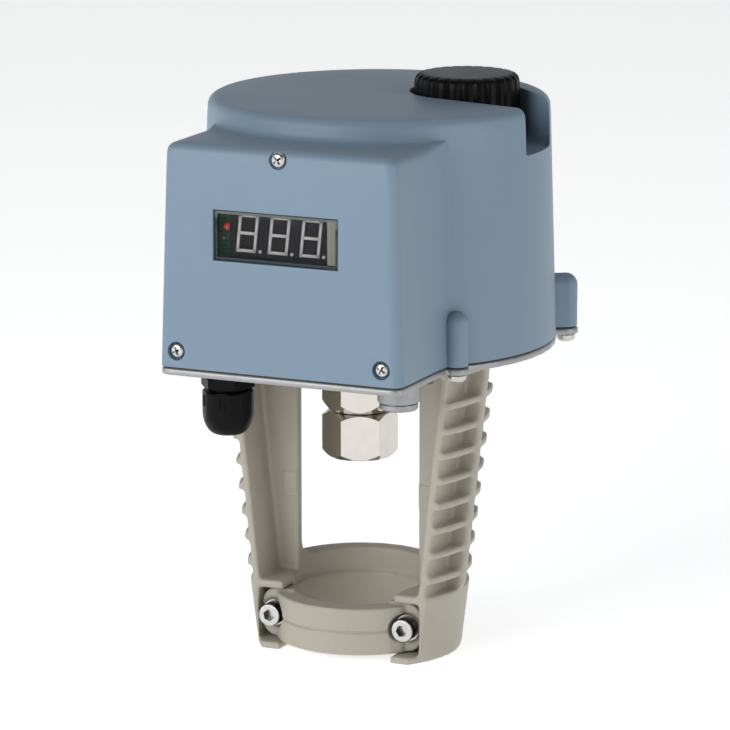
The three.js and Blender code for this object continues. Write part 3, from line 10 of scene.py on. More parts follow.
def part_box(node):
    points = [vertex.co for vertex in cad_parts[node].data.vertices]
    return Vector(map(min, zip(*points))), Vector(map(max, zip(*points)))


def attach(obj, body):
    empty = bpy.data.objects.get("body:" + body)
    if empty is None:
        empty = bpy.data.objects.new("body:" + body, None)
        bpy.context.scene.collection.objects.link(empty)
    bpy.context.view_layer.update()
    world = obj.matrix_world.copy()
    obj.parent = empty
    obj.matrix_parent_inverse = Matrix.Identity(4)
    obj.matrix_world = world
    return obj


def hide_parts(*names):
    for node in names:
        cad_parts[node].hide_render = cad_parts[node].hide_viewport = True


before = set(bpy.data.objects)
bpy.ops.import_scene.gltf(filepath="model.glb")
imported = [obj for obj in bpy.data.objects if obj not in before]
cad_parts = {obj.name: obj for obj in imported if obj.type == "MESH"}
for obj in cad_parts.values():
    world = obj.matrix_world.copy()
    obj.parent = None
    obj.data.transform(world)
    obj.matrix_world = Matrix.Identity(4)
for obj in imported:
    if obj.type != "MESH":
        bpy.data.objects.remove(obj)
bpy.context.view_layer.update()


# ---- camera, floor and light ----
# The actuator stands on the foot of its yoke on a pale bench top. It is lit as for a catalogue:
# one wide soft light from the front left, a weaker one from the right and a bright room.

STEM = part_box("spindle")
STEM_Y = (STEM[0].y + STEM[1].y) / 2
LOOK_AT = Vector((0.002, STEM_Y, 0.1045))
VIEW_AZIMUTH = radians(24.3)
VIEW_ELEVATION = radians(12.3)
VIEW_DISTANCE = 1.744
LENS = 236


def from_angle(azimuth, elevation, distance):
    flat = distance * cos(elevation)
    return LOOK_AT + Vector((flat * sin(azimuth), -flat * cos(azimuth), distance * sin(elevation)))


def aim(item, place):
    item.location = place
    item.rotation_euler = (LOOK_AT - place).to_track_quat("-Z", "Y").to_euler()
    bpy.context.collection.objects.link(item)


camera = bpy.data.objects.new("camera", bpy.data.cameras.new("camera"))
camera.data.lens = LENS
camera.data.clip_end = 20
aim(camera, from_angle(VIEW_AZIMUTH, VIEW_ELEVATION, VIEW_DISTANCE))
bpy.context.scene.camera = camera
bpy.context.scene.view_settings.view_transform = "Standard"


def soft_light(name, azimuth, elevation, distance, size, power):
    light = bpy.data.lights.new(name, "AREA")
    light.shape = "RECTANGLE"
    light.size, light.size_y = size
    light.energy = power
    aim(bpy.data.objects.new(name, light), from_angle(radians(azimuth), radians(elevation), distance))


soft_light("front_light", -24, 22, 1.5, (1.2, 1.0), 12.5)
soft_light("side_light", 84, 18, 1.4, (0.4, 1.0), 3.5)
soft_light("top_light", 190, 64, 1.3, (1.0, 0.5), 1.5)


# Node trees for shaders and for geometry are filled the same way: a socket takes a link where it
# is given another node's socket, and a plain value otherwise.
def add(tree, kind, sockets=None, **settings):
    node = tree.nodes.new(kind)
    for name, value in settings.items():
        setattr(node, name, value)
    for name, source in (sockets or {}).items():
        if isinstance(source, bpy.types.NodeSocket):
            tree.links.new(source, node.inputs[name])
        else:
            node.inputs[name].default_value = source
    return node


def math(tree, operation, *values):
    return add(tree, "ShaderNodeMath", dict(enumerate(values)), operation=operation).outputs[0]


def plus(tree, first, second):
    return math(tree, "ADD", first, second)


def minus(tree, first, second):
    return math(tree, "SUBTRACT", first, second)


def times(tree, first, second):
    return math(tree, "MULTIPLY", first, second)


def xyz(tree, parts):
    return add(tree, "ShaderNodeCombineXYZ", parts).outputs[0]


def split(tree, source):
    return add(tree, "ShaderNodeSeparateXYZ", {0: source}).outputs


def on_object(tree):
    return add(tree, "ShaderNodeTexCoord").outputs["Object"]


# The room is bright at eye level and darker overhead.
world = bpy.data.worlds.new("bright_room")
world.use_nodes = True
room = world.node_tree
upward = split(room, add(room, "ShaderNodeTexCoord").outputs["Generated"])
overhead = add(room, "ShaderNodeMapRange", {"Value": upward["Z"], "From Min": 0.02, "From Max": 0.6,
                                            "To Min": 0.85, "To Max": 0.12})
room.nodes["Background"].inputs["Color"].default_value = (0.96, 0.98, 1.0, 1)
room.links.new(overhead.outputs[0], room.nodes["Background"].inputs["Strength"])
bpy.context.scene.world = world


SOCKETS = {float: "NodeSocketFloat", int: "NodeSocketInt", bool: "NodeSocketBool"}


def new_group(kind, name, inputs, outputs):
    tree = bpy.data.node_groups.new(name, kind)
    for side, labels in (("INPUT", inputs), ("OUTPUT", outputs)):
        for label, value in labels.items():
            if isinstance(value, str):
                tree.interface.new_socket(label, in_out=side, socket_type=value)
                continue
            listed = isinstance(value, tuple)
            wide = "NodeSocketColor" if listed and len(value) == 4 else "NodeSocketVector"
            socket = tree.interface.new_socket(
                label, in_out=side, socket_type=wide if listed else SOCKETS[type(value)])
            socket.default_value = value
    return tree, tree.nodes.new("NodeGroupInput").outputs, tree.nodes.new("NodeGroupOutput").inputs


# Fine grain and slow cloudiness of a moulded, cast or coated surface.
def grain_group():
    tree, given, out = new_group(
        "ShaderNodeTree", "surface_grain",
        {"Colour": (0.5, 0.5, 0.5, 1.0), "Tint": (0.4, 0.4, 0.4, 1.0), "Patch scale": 60.0,
         "Grain scale": 2500.0, "Roughness": 0.4, "Spread": 0.1},
        {"Colour": (0.5, 0.5, 0.5, 1.0), "Roughness": 0.4, "Height": 0.0})
    at = on_object(tree)
    patches = add(tree, "ShaderNodeTexNoise",
                  {"Vector": at, "Scale": given["Patch scale"], "Detail": 4.0, "Roughness": 0.55})
    grain = add(tree, "ShaderNodeTexNoise",
                {"Vector": at, "Scale": given["Grain scale"], "Detail": 2.0, "Roughness": 0.6})
    share = add(tree, "ShaderNodeMapRange",
                {"Value": patches.outputs["Fac"], "From Min": 0.3, "From Max": 0.7})
    colour = add(tree, "ShaderNodeMix",
                 {"Factor": share.outputs[0], 6: given["Colour"], 7: given["Tint"]},
                 data_type="RGBA")
    both = plus(tree, patches.outputs["Fac"], grain.outputs["Fac"])
    offset = times(tree, minus(tree, both, 1.0), given["Spread"])
    tree.links.new(colour.outputs[2], out["Colour"])
    tree.links.new(plus(tree, given["Roughness"], offset), out["Roughness"])
    tree.links.new(grain.outputs["Fac"], out["Height"])
    return tree


# Where an edge is rubbed: one on outer corners, nothing on flats.
def edge_group():
    tree, given, out = new_group("ShaderNodeTree", "rubbed_edges",
                                 {"Width": 0.0006, "Strength": 6.0}, {"Mask": 0.0})
    rounded = add(tree, "ShaderNodeBevel", {"Radius": given["Width"]}, samples=6)
    true = add(tree, "ShaderNodeNewGeometry")
    turn = add(tree, "ShaderNodeVectorMath",
               {0: rounded.outputs[0], 1: true.outputs["Normal"]}, operation="DOT_PRODUCT")
    bare = times(tree, minus(tree, 1.0, turn.outputs["Value"]), given["Strength"])
    speck = add(tree, "ShaderNodeTexNoise", {"Vector": on_object(tree), "Scale": 900.0})
    worn = times(tree, bare, speck.outputs["Fac"])
    tree.links.new(add(tree, "ShaderNodeClamp", {"Value": worn}).outputs[0], out["Mask"])
    return tree


# Fine dust that settles on faces turned up, in cloudy patches.
def dust_group():
    tree, given, out = new_group("ShaderNodeTree", "settled_dust", {"Amount": 0.1}, {"Mask": 0.0})
    true = add(tree, "ShaderNodeNewGeometry")
    upward = split(tree, true.outputs["Normal"])["Z"]
    facing = add(tree, "ShaderNodeMapRange", {"Value": upward, "From Min": 0.55, "From Max": 0.98})
    at = on_object(tree)
    cloud = add(tree, "ShaderNodeTexNoise", {"Vector": at, "Scale": 45.0, "Detail": 6.0})
    layer = times(tree, facing.outputs[0], cloud.outputs["Fac"])
    tree.links.new(times(tree, layer, given["Amount"]), out["Mask"])
    return tree


GRAIN, EDGES, DUST = grain_group(), edge_group(), dust_group()


def placed(tree, group, sockets):
    return add(tree, "ShaderNodeGroup", sockets, node_tree=group)


def mixed(tree, share, first, second):
    return add(tree, "ShaderNodeMix", {"Factor": share, 6: first, 7: second}, data_type="RGBA").outputs[2]


# A finish of the grain group on the plain shader, with optional worn edges and dust.
def finish(name, colour, roughness, metallic=0.0, tint=0.88, patch=60.0, grain=2500.0, spread=0.08,
           depth=0.00002, edge=None, dust=0.0, coat=0.0, ior=1.5):
    material = bpy.data.materials.new(name)
    material.use_nodes = True
    tree = material.node_tree
    shader = tree.nodes["Principled BSDF"]
    shader.inputs["Metallic"].default_value = metallic
    shader.inputs["Coat Weight"].default_value = coat
    shader.inputs["IOR"].default_value = ior
    tinted = tuple(part * tint for part in colour)
    base = placed(tree, GRAIN, {"Colour": (*colour, 1), "Tint": (*tinted, 1), "Patch scale": patch,
                                "Grain scale": grain, "Roughness": roughness, "Spread": spread})
    shade = base.outputs["Colour"]
    if edge:
        worn = placed(tree, EDGES, {"Width": 0.0006})
        shade = mixed(tree, worn.outputs["Mask"], shade, (*edge, 1))
    if dust:
        settled = placed(tree, DUST, {"Amount": dust})
        shade = mixed(tree, settled.outputs["Mask"], shade, (0.55, 0.53, 0.49, 1))
    tree.links.new(shade, shader.inputs["Base Color"])
    tree.links.new(base.outputs["Roughness"], shader.inputs["Roughness"])
    bump = add(tree, "ShaderNodeBump", {"Height": base.outputs["Height"], "Distance": depth, "Strength": 1.0})
    tree.links.new(bump.outputs[0], shader.inputs["Normal"])
    return material


def overlay(material, share, colour):
    """A second colour over the material's own, where share says so."""
    base = material.node_tree.nodes["Principled BSDF"].inputs["Base Color"]
    over = mixed(material.node_tree, share, base.links[0].from_socket, (*colour, 1))
    material.node_tree.links.new(over, base)


def glow(material, colour, strength):
    shader = material.node_tree.nodes["Principled BSDF"]
    shader.inputs["Emission Color"].default_value = (*colour, 1)
    shader.inputs["Emission Strength"].default_value = strength


FLOOR_HALF = 4.0
bench = bpy.data.objects.new("bench_top", bpy.data.meshes.new("bench_top"))
bench.data.from_pydata([(-FLOOR_HALF, -FLOOR_HALF, 0), (FLOOR_HALF, -FLOOR_HALF, 0),
                        (FLOOR_HALF, FLOOR_HALF, 0), (-FLOOR_HALF, FLOOR_HALF, 0)], [], [(0, 1, 2, 3)])
bench_white = finish("bench_white", (0.9, 0.905, 0.91), 0.6, tint=0.985, patch=3.0)
glow(bench_white, (1, 1, 1), 0.62)
bench.data.materials.append(bench_white)
bpy.context.collection.objects.link(bench)


# ---- yoke ----
# One aluminium pressure die casting: two ribbed columns between a bolting flange and the half
# ring round the valve neck. It has the soft edges and fillets of its die, under a pebble-beige
# powder coat.

YOKE_VOXEL = 0.0007
YOKE_SOFTENING = 5
YOKE_KEPT = 0.5                   # share of faces kept after thinning
RING_TOP = 0.030
RING_INNER, RING_OUTER = 0.0243, 0.0308
WEB_HALF = 0.00175
GUSSET = 0.0065                   # fillet from each web down to the ring


def new_piece(name, points, faces):
    mesh = bpy.data.meshes.new(name)
    mesh.from_pydata(points, [], faces)
    piece = bpy.data.objects.new(name, mesh)
    bpy.context.collection.objects.link(piece)
    return piece


def paint(piece, *materials):
    piece.data.materials.clear()
    for material in materials:
        piece.data.materials.append(material)


def middle_of(low, high):
    return (low.x + high.x) / 2, (low.y + high.y) / 2, (low.z + high.z) / 2


def tidy_mesh(piece, distance=1e-6, turn_out=True):
    shape = bmesh.new()
    shape.from_mesh(piece.data)
    bmesh.ops.remove_doubles(shape, verts=shape.verts, dist=distance)
    bmesh.ops.dissolve_degenerate(shape, dist=distance, edges=shape.edges)
    if turn_out:
        bmesh.ops.recalc_face_normals(shape, faces=shape.faces)
    shape.to_mesh(piece.data)
    shape.free()


def copy_of(node, name):
    piece = bpy.data.objects.new(name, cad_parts[node].data.copy())
    bpy.context.collection.objects.link(piece)
    piece.data.materials.clear()
    tidy_mesh(piece, turn_out=False)
    return piece


def settle(piece):
    """The piece's modifiers become its mesh."""
    bpy.context.view_layer.update()
    shown = piece.evaluated_get(bpy.context.evaluated_depsgraph_get())
    made = bpy.data.meshes.new_from_object(shown)
    piece.modifiers.clear()
    piece.data = made
    made.name = piece.name


def join_into(piece, *others):
    shape = bmesh.new()
    shape.from_mesh(piece.data)
    for other in others:
        shape.from_mesh(other.data)
        bpy.data.objects.remove(other)
    shape.to_mesh(piece.data)
    shape.free()


def shade(piece, sharp_degrees=None):
    piece.data.shade_smooth()
    if sharp_degrees:
        piece.data.set_sharp_from_angle(angle=radians(sharp_degrees))


def dress(piece, sharp_degrees, material, slot, body, node):
    shade(piece, sharp_degrees)
    paint(piece, material)
    hand_over(piece, slot, body, node)


def cast(piece, voxel, softening, kept):
    """Overlapping solids become one skin with the soft edges of a casting."""
    skin = piece.modifiers.new("skin", "REMESH")
    skin.mode = "VOXEL"
    skin.voxel_size = voxel
    soft = piece.modifiers.new("soft", "SMOOTH")
    soft.factor = 0.5
    soft.iterations = softening
    thin = piece.modifiers.new("thin", "DECIMATE")
    thin.ratio = kept
    settle(piece)
    shade(piece)


def quads(rows, count):
    """Faces between stacked rows of count points each."""
    turned_on = [(i, (i + 1) % count) for i in range(count)]
    return [(r * count + i, r * count + j, (r + 1) * count + j, (r + 1) * count + i)
            for r in range(rows - 1) for i, j in turned_on]


def prism(name, outline, lift):
    """Closed solid between an outline of points and the same outline moved by lift."""
    count = len(outline)
    points = [Vector(p) for p in outline]
    points += [p + Vector(lift) for p in points]
    piece = new_piece(name, points, quads(2, count) + [tuple(range(count)), tuple(range(count, 2 * count))])
    tidy_mesh(piece)
    return piece


def hand_over(piece, slot, body, *nodes):
    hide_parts(*nodes)
    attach(piece, body)


yoke = copy_of("yoke", "yoke_casting")
for side in (-1, 1):
    corner = (STEM_Y + WEB_HALF, RING_TOP)
    curve = [(corner[0] + GUSSET * (1 - cos(t)), corner[1] + GUSSET * (1 - sin(t)))
             for t in [k * pi / 12 for k in range(7)]]
    foot = [(side * RING_INNER, y, z) for y, z in [*curve, (corner[0] + GUSSET, corner[1] - 0.002),
                                                   (corner[0] - 0.002, corner[1] - 0.002)]]
    join_into(yoke, prism("gusset", foot, (side * (RING_OUTER - RING_INNER), 0, 0)))
cast(yoke, YOKE_VOXEL, YOKE_SOFTENING, YOKE_KEPT)

PAD_LOW, PAD_HIGH = (0.0246, 0.0536), (0.0298, 0.0623)
PAD_RISE, PAD_EDGE = 0.0007, 0.0003
for side in (-1, 1):
    front = STEM_Y - WEB_HALF - PAD_RISE
    low, high = sorted((side * PAD_LOW[0], side * PAD_HIGH[0]))
    edges = [(low + e, front + d, PAD_LOW[1] + e, high - e, PAD_HIGH[1] - e)
             for d, e in ((PAD_RISE + 0.0004, 0.0), (PAD_EDGE, 0.0), (0.0, PAD_EDGE))]
    rows = [[(x0, y, z0), (x1, y, z0), (x1, y, z1), (x0, y, z1)] for x0, y, z0, x1, z1 in edges]
    pad = new_piece("pad", [point for row in rows for point in row], quads(3, 4) + [(8, 9, 10, 11)])
    join_into(yoke, pad)
yoke.data.set_sharp_from_angle(angle=radians(40))

powder_coat = finish("powder_coat_beige", (0.391, 0.365, 0.302), 0.46, tint=0.93, patch=35.0, grain=1100.0,
                     spread=0.12, depth=0.00006, edge=(0.56, 0.53, 0.45), dust=0.25)
paint(yoke, powder_coat)
hand_over(yoke, "yoke_beige", "housing", "yoke")


# ---- clamp bar ----
# The front half of the neck clamp, cast in the same alloy and coated like the yoke, with a
# groove round its middle and a counterbored lug at each end.

CLAMP_VOXEL = 0.00042
clamp_bar = copy_of("clamp_bar", "clamp_bar_casting")
cast(clamp_bar, CLAMP_VOXEL, softening=4, kept=0.55)
paint(clamp_bar, powder_coat)
hand_over(clamp_bar, "yoke_beige", "housing", "clamp_bar")


# ---- base plate ----
# Die-cast aluminium plate, left bare and shot-blasted: flush rim, ears for the cover screws, the
# two cable entries and the raised ring round the stem.

PLATE_VOXEL = 0.0006
base_plate = copy_of("base_plate", "base_plate_casting")
cast(base_plate, PLATE_VOXEL, softening=3, kept=0.4)
bare_casting = finish("bare_die_casting", (0.35, 0.35, 0.355), 0.42, metallic=0.65, tint=0.9, patch=90.0,
                      grain=1800.0, spread=0.15, depth=0.00004)
paint(base_plate, bare_casting)
hand_over(base_plate, "cast_aluminium", "housing", "base_plate")


# ---- top cover ----
# One injection moulding in satin blue-grey plastic: a round rear part, a lower front box that
# runs into it with hollow fillets, four screw bosses and a well for the hand knob that opens to
# the right. Its walls have draft and every edge is rounded.

COVER_LOW, COVER_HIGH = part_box("top_cover")
BODY_RADIUS = COVER_HIGH.x
BODY_Y = COVER_HIGH.y - BODY_RADIUS
FRONT_Y = COVER_LOW.y
COVER_BOTTOM, COVER_TOP = COVER_LOW.z, COVER_HIGH.z
COVER_HEIGHT = COVER_TOP - COVER_BOTTOM
BOX_DROP = 0.0077                 # top of the front box below the round part
BOX_TOP = COVER_TOP - BOX_DROP
BOX_HALF = 0.047
COVER_WALL = 0.0028
SIDE_DRAFT, FRONT_DRAFT = 0.0027, 0.0009
TOP_EDGE = 0.0036
BOX_CORNER, LEAST_CORNER = 0.004, 0.0012
FILLET_SHARE = 0.42               # most that a rounding may take of the ledge it stands on
BOX_FOOT = 0.0030                 # fillet between the box top and the round part
BOX_FILLET = 0.003                # where the box runs into the round part
BOX_FLARE, BOX_FLARE_LENGTH = 0.0008, 0.011


def arc(centre, radius, start, end, steps):
    """Points and outward directions along an arc, both ends included; angles in degrees."""
    turns = [radians(start + (end - start) * k / steps) for k in range(steps + 1)]
    return [((centre[0] + radius * cos(t), centre[1] + radius * sin(t)), (cos(t), sin(t))) for t in turns]


def cover_plan(share, inset):
    """Outline of the cover at a share of its height: (point, outward direction) pairs."""
    half = BOX_HALF - inset - SIDE_DRAFT * share
    front = FRONT_Y + inset + FRONT_DRAFT * share
    radius = BODY_RADIUS - inset - SIDE_DRAFT * share
    corner = max(BOX_CORNER - inset, LEAST_CORNER)
    fillet = BOX_FILLET + inset
    fillet_x = half + BOX_FLARE + fillet
    fillet_y = BODY_Y - sqrt((radius + fillet) ** 2 - fillet_x ** 2)
    sweep = degrees(atan2(BODY_Y - fillet_y, fillet_x))
    kink = fillet_y - BOX_FLARE_LENGTH
    front_steps, side_steps, flare_steps = 7, 8, 4
    right = [(((half - corner) * k / front_steps, front), (0, -1)) for k in range(front_steps)]
    right += arc((half - corner, front + corner), corner, -90, 0, 8)
    right += [((half, front + corner + (kink - front - corner) * k / side_steps), (1, 0))
              for k in range(1, side_steps + 1)]
    right += [((half + BOX_FLARE * k / flare_steps, kink + BOX_FLARE_LENGTH * k / flare_steps), (1, 0))
              for k in range(1, flare_steps)]
    hollow = arc((fillet_x, fillet_y), fillet, 180, 180 - sweep, 6)
    right += [(point, (-x, -y)) for point, (x, y) in hollow]
    right += arc((0, BODY_Y), radius, -sweep, 90, 44)[1:]
    left = [((-x, y), (-nx, ny)) for (x, y), (nx, ny) in right[1:-1]]
    return right + left[::-1], radius


def cover_skin(name, bottom, inset, edge, foot):
    """Closed skin of the cover, drawn in by inset, with the box running into the round part."""
    box_top, top = BOX_TOP - inset, COVER_TOP - inset
    share = lambda z: (z - COVER_BOTTOM) / COVER_HEIGHT
    plan, radius = cover_plan(share(box_top), inset)
    spokes = []
    for (x, y), direction in plan:
        reach = hypot(x, y - BODY_Y)
        past = reach - radius
        past = 0.0 if past < 0.0002 else past
        spokes.append(((x / reach, (y - BODY_Y) / reach), direction, (x, y),
                       min(edge, FILLET_SHARE * past), min(foot, FILLET_SHARE * past)))
    rows = []
    wall_steps = 12
    for k in range(wall_steps):
        z = bottom + (box_top - edge - bottom) * k / wall_steps
        rows.append([(*point, z) for point, _ in cover_plan(share(z), inset)[0]])
    quarter = [radians(a) for a in (0, 18, 36, 54, 72, 90)]
    for t in quarter:
        rows.append([(x - nx * e * (1 - cos(t)), y - ny * e * (1 - cos(t)), box_top - e + e * sin(t))
                     for _, (nx, ny), (x, y), e, _ in spokes])
    shelf = rows[-1]
    at_foot = [(ux * (radius + f), BODY_Y + uy * (radius + f), box_top) for (ux, uy), _, _, _, f in spokes]
    for k in (1, 2, 3):
        rows.append([tuple(a + (b - a) * k / 3 for a, b in zip(start, end))
                     for start, end in zip(shelf, at_foot)])
    for t in quarter[1:]:
        rows.append([(ux * (radius + f * (1 - sin(t))), BODY_Y + uy * (radius + f * (1 - sin(t))),
                      box_top + f * (1 - cos(t))) for (ux, uy), _, _, _, f in spokes])
    rim = BODY_RADIUS - inset - SIDE_DRAFT * share(top)
    for t in quarter:
        rows.append([(ux * (rim - edge * (1 - cos(t))), BODY_Y + uy * (rim - edge * (1 - cos(t))),
                      top - edge + edge * sin(t)) for (ux, uy), *_ in spokes])
    for part in (0.75, 0.5, 0.25):
        rows.append([(ux * (rim - edge) * part, BODY_Y + uy * (rim - edge) * part, top)
                     for (ux, uy), *_ in spokes])
    count = len(plan)
    points = [point for row in rows for point in row] + [(0, BODY_Y, top)]
    faces = quads(len(rows), count)
    last = (len(rows) - 1) * count
    faces += [(last + i, last + (i + 1) % count, len(points) - 1) for i in range(count)]
    faces.append(tuple(range(count))[::-1])
    piece = new_piece(name, points, faces)
    tidy_mesh(piece, 2e-5)
    return piece


def combine(piece, other, operation):
    step = piece.modifiers.new("step", "BOOLEAN")
    step.operation = operation
    step.solver = "EXACT"
    step.object = other
    settle(piece)
    bpy.data.objects.remove(other)


def bar(name, radius, start, end, sides=48):
    """Round bar between two points."""
    axis = Vector(end) - Vector(start)
    across = axis.orthogonal().normalized() * radius
    turn = [Matrix.Rotation(2 * pi * k / sides, 3, axis) for k in range(sides)]
    return prism(name, [Vector(start) + m @ across for m in turn], axis)


def block(name, low, high):
    (x0, y0, z0), (x1, y1, z1) = low, high
    return prism(name, [(x0, y0, z0), (x1, y0, z0), (x1, y1, z0), (x0, y1, z0)], (0, 0, z1 - z0))


def soften_edges(piece, width, segments, chosen, sharp_degrees=35):
    shape = bmesh.new()
    shape.from_mesh(piece.data)
    picked = [edge for edge in shape.edges if len(edge.link_faces) == 2
              and edge.calc_face_angle() > radians(sharp_degrees)
              and chosen((edge.verts[0].co + edge.verts[1].co) / 2)]
    bmesh.ops.bevel(shape, geom=picked, offset=width, segments=segments, profile=0.5, affect="EDGES",
                    clamp_overlap=True)
    shape.to_mesh(piece.data)
    shape.free()


# Screw bosses: upright half-round ribs with a domed end, flared where they leave the wall.
BOSS_RADIUS = 0.0043
BOSS_HEIGHT = 0.0196
BOSS_TOP = COVER_BOTTOM + BOSS_HEIGHT - BOSS_RADIUS
BOSS_FLARE = 0.0022
screw_boxes = [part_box(f"cover_screw_{k}") for k in (1, 2, 3, 4)]
boss_places = [middle_of(*box)[:2] for box in screw_boxes]


def boss(x, y):
    out = Vector((x, y - BODY_Y)).normalized()
    side = Vector((-out.y, out.x))
    reach = hypot(x, y - BODY_Y) - BODY_RADIUS + SIDE_DRAFT
    rows = []
    dome = [k * pi / 16 for k in range(1, 9)]
    levels = [(COVER_BOTTOM, 1), (BOSS_TOP, 1)]
    for height, size in levels + [(BOSS_TOP + BOSS_RADIUS * sin(t), max(cos(t), 0.02)) for t in dome]:
        r = BOSS_RADIUS * size
        half = [(r * cos(t), r * sin(t)) for t in [k * pi / 20 for k in range(11)]]
        flare = BOSS_FLARE * size
        neck = [(flare - reach - flare * sin(t), r + flare * (1 - cos(t)))
                for t in [k * pi / 12 for k in range(7)]]
        half += neck + [(-reach - 0.004, r + flare)]
        ring = half + [(u, -v) for u, v in half[:0:-1]]
        rows.append([(x + out.x * u + side.x * v, y + out.y * u + side.y * v, height) for u, v in ring])
    count = len(rows[0])
    faces = quads(len(rows), count)
    faces += [tuple(range(count))[::-1], tuple(range((len(rows) - 1) * count, len(rows) * count))]
    piece = new_piece("boss", [point for row in rows for point in row], faces)
    tidy_mesh(piece)
    return piece


# Well of the hand knob: a round pit with a notch through the wall on the right.
KNOB_LOW, KNOB_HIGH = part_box("hand_knob")
KNOB_X, KNOB_Y = middle_of(KNOB_LOW, KNOB_HIGH)[:2]
KNOB_RADIUS = 0.0193
WELL_RADIUS = KNOB_RADIUS + 0.0017
WELL_FLOOR = KNOB_LOW.z - 0.0016
NOTCH_FRONT, NOTCH_REAR = (0.070, 0.0052 + STEM_Y), (0.070, 0.0228 + STEM_Y)


def well(name, grow, floor, floor_edge):
    ring = arc((KNOB_X, KNOB_Y), WELL_RADIUS + grow, 45, 255, 64)
    outline = [point for point, _ in ring]
    outline += [(NOTCH_FRONT[0], NOTCH_FRONT[1] - grow), (NOTCH_REAR[0], NOTCH_REAR[1] + grow)]
    piece = prism(name, [(x, y, floor) for x, y in outline], (0, 0, COVER_TOP + 0.004 - floor))
    if floor_edge:
        soften_edges(piece, floor_edge, 4, lambda at: abs(at.z - floor) < 1e-5)
    return piece


cover = cover_skin("cover_shell", COVER_BOTTOM, 0.0, TOP_EDGE, BOX_FOOT)
for place in boss_places:
    combine(cover, boss(*place), "UNION")
cavity = cover_skin("cavity", COVER_BOTTOM - 0.001, COVER_WALL, 0.0012, 0.001)
combine(cavity, well("well_wall", 0.0022, WELL_FLOOR - 0.0022, 0), "DIFFERENCE")
combine(cover, cavity, "DIFFERENCE")
combine(cover, well("well", 0.0, WELL_FLOOR, 0.0014), "DIFFERENCE")
soften_edges(cover, 0.0009, 3, lambda at: at.z > WELL_FLOOR + 0.003 and at.x > 0
             and hypot(at.x - KNOB_X, at.y - KNOB_Y) > WELL_RADIUS - 0.0015
             and hypot(at.x, at.y - BODY_Y) < BODY_RADIUS + 0.001)

# Window and screw pits in the front face.
LENS_LOW, LENS_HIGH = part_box("display_window")
LENS_GAP = 0.0003
FACE_Y = LENS_LOW.y
front_screws = [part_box(f"front_screw_{k}") for k in (1, 2, 3)]
screw_faces = [((a.x + b.x) / 2, a.y, (a.z + b.z) / 2) for a, b in front_screws]
PIT_RADIUS = 0.0034
cuts = block("window", (LENS_LOW.x - LENS_GAP, FRONT_Y - 0.001, LENS_LOW.z - LENS_GAP),
             (LENS_HIGH.x + LENS_GAP, FACE_Y + 0.006, LENS_HIGH.z + LENS_GAP))
for x, y, z in screw_faces:
    join_into(cuts, bar("pit", PIT_RADIUS, (x, FRONT_Y - 0.001, z), (x, y + 0.0023, z)))
combine(cover, cuts, "DIFFERENCE")
soften_edges(cover, 0.0003, 2, lambda at: at.y < FACE_Y + 0.001
             and (any(hypot(at.x - x, at.z - z) < PIT_RADIUS + 0.0002 for x, _, z in screw_faces)
                  or LENS_LOW.x - 0.001 < at.x < LENS_HIGH.x + 0.001
                  and LENS_LOW.z - 0.001 < at.z < LENS_HIGH.z + 0.001))
shade(cover, 38)

moulded_blue = finish("moulded_blue_grey", (0.182, 0.258, 0.338), 0.42, tint=0.965, patch=14.0, grain=2600.0,
                      spread=0.05, depth=0.000018, dust=0.03, ior=1.4)
paint(cover, moulded_blue)
hand_over(cover, "housing_blue", "housing", "top_cover")


# ---- gasket ----
# Thin sheet of black nitrile rubber between cover and base plate, die-cut to their footprint and
# squeezed by the cover screws. Only its edge shows.

def coat(material, *nodes):
    """New finish on CAD nodes that are shown as they are."""
    for node in nodes:
        paint(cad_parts[node], material)


rubber = finish("nitrile_rubber", (0.035, 0.036, 0.038), 0.75, tint=0.85, grain=1500.0, depth=0.00003)
coat(rubber, "cover_gasket")


# ---- cover, front and yoke screws ----
# Stainless pan-head screws with a cross recess, cold-headed and turned by hand, so each recess
# points its own way. Four hold the cover from below, three the display carrier through the front,
# and four the yoke flange to the base plate.

GEOMETRY = {"Geometry": "NodeSocketGeometry"}


def shape_tree(name, inputs):
    return new_group("GeometryNodeTree", name, inputs, GEOMETRY)


def cylinder(tree, sides, radius, depth):
    return add(tree, "GeometryNodeMeshCylinder", {
        "Vertices": sides, "Radius": radius, "Depth": depth}).outputs["Mesh"]


def unit_grid(tree, segments, rows):
    """Grid of side one, with the place of each point and its angle once round the axis."""
    grid = add(tree, "GeometryNodeMeshGrid", {
        "Size X": 1.0, "Size Y": 1.0, "Vertices X": plus(tree, segments, 1.0), "Vertices Y": rows})
    at = split(tree, add(tree, "GeometryNodeInputPosition").outputs[0])
    return grid, at, times(tree, at["X"], 2 * pi)


def wrapped(tree, grid, reach, turn, height):
    """Bends a grid round the axis and welds the seam."""
    place = xyz(tree, {"X": times(tree, reach, math(tree, "COSINE", turn)),
                       "Y": times(tree, reach, math(tree, "SINE", turn)), "Z": height})
    bent = add(tree, "GeometryNodeSetPosition", {"Geometry": grid.outputs["Mesh"], "Position": place})
    sealed = add(tree, "GeometryNodeMergeByDistance", {"Geometry": bent.outputs[0], "Distance": 0.000002})
    return sealed.outputs[0]


TURNED_SIZES = {"Radius": 0.01, "Height": 0.01, "Squareness": 4.0, "Flutes": 0, "Flute depth": 0.0,
                "Rows": 24, "Segments": 48}


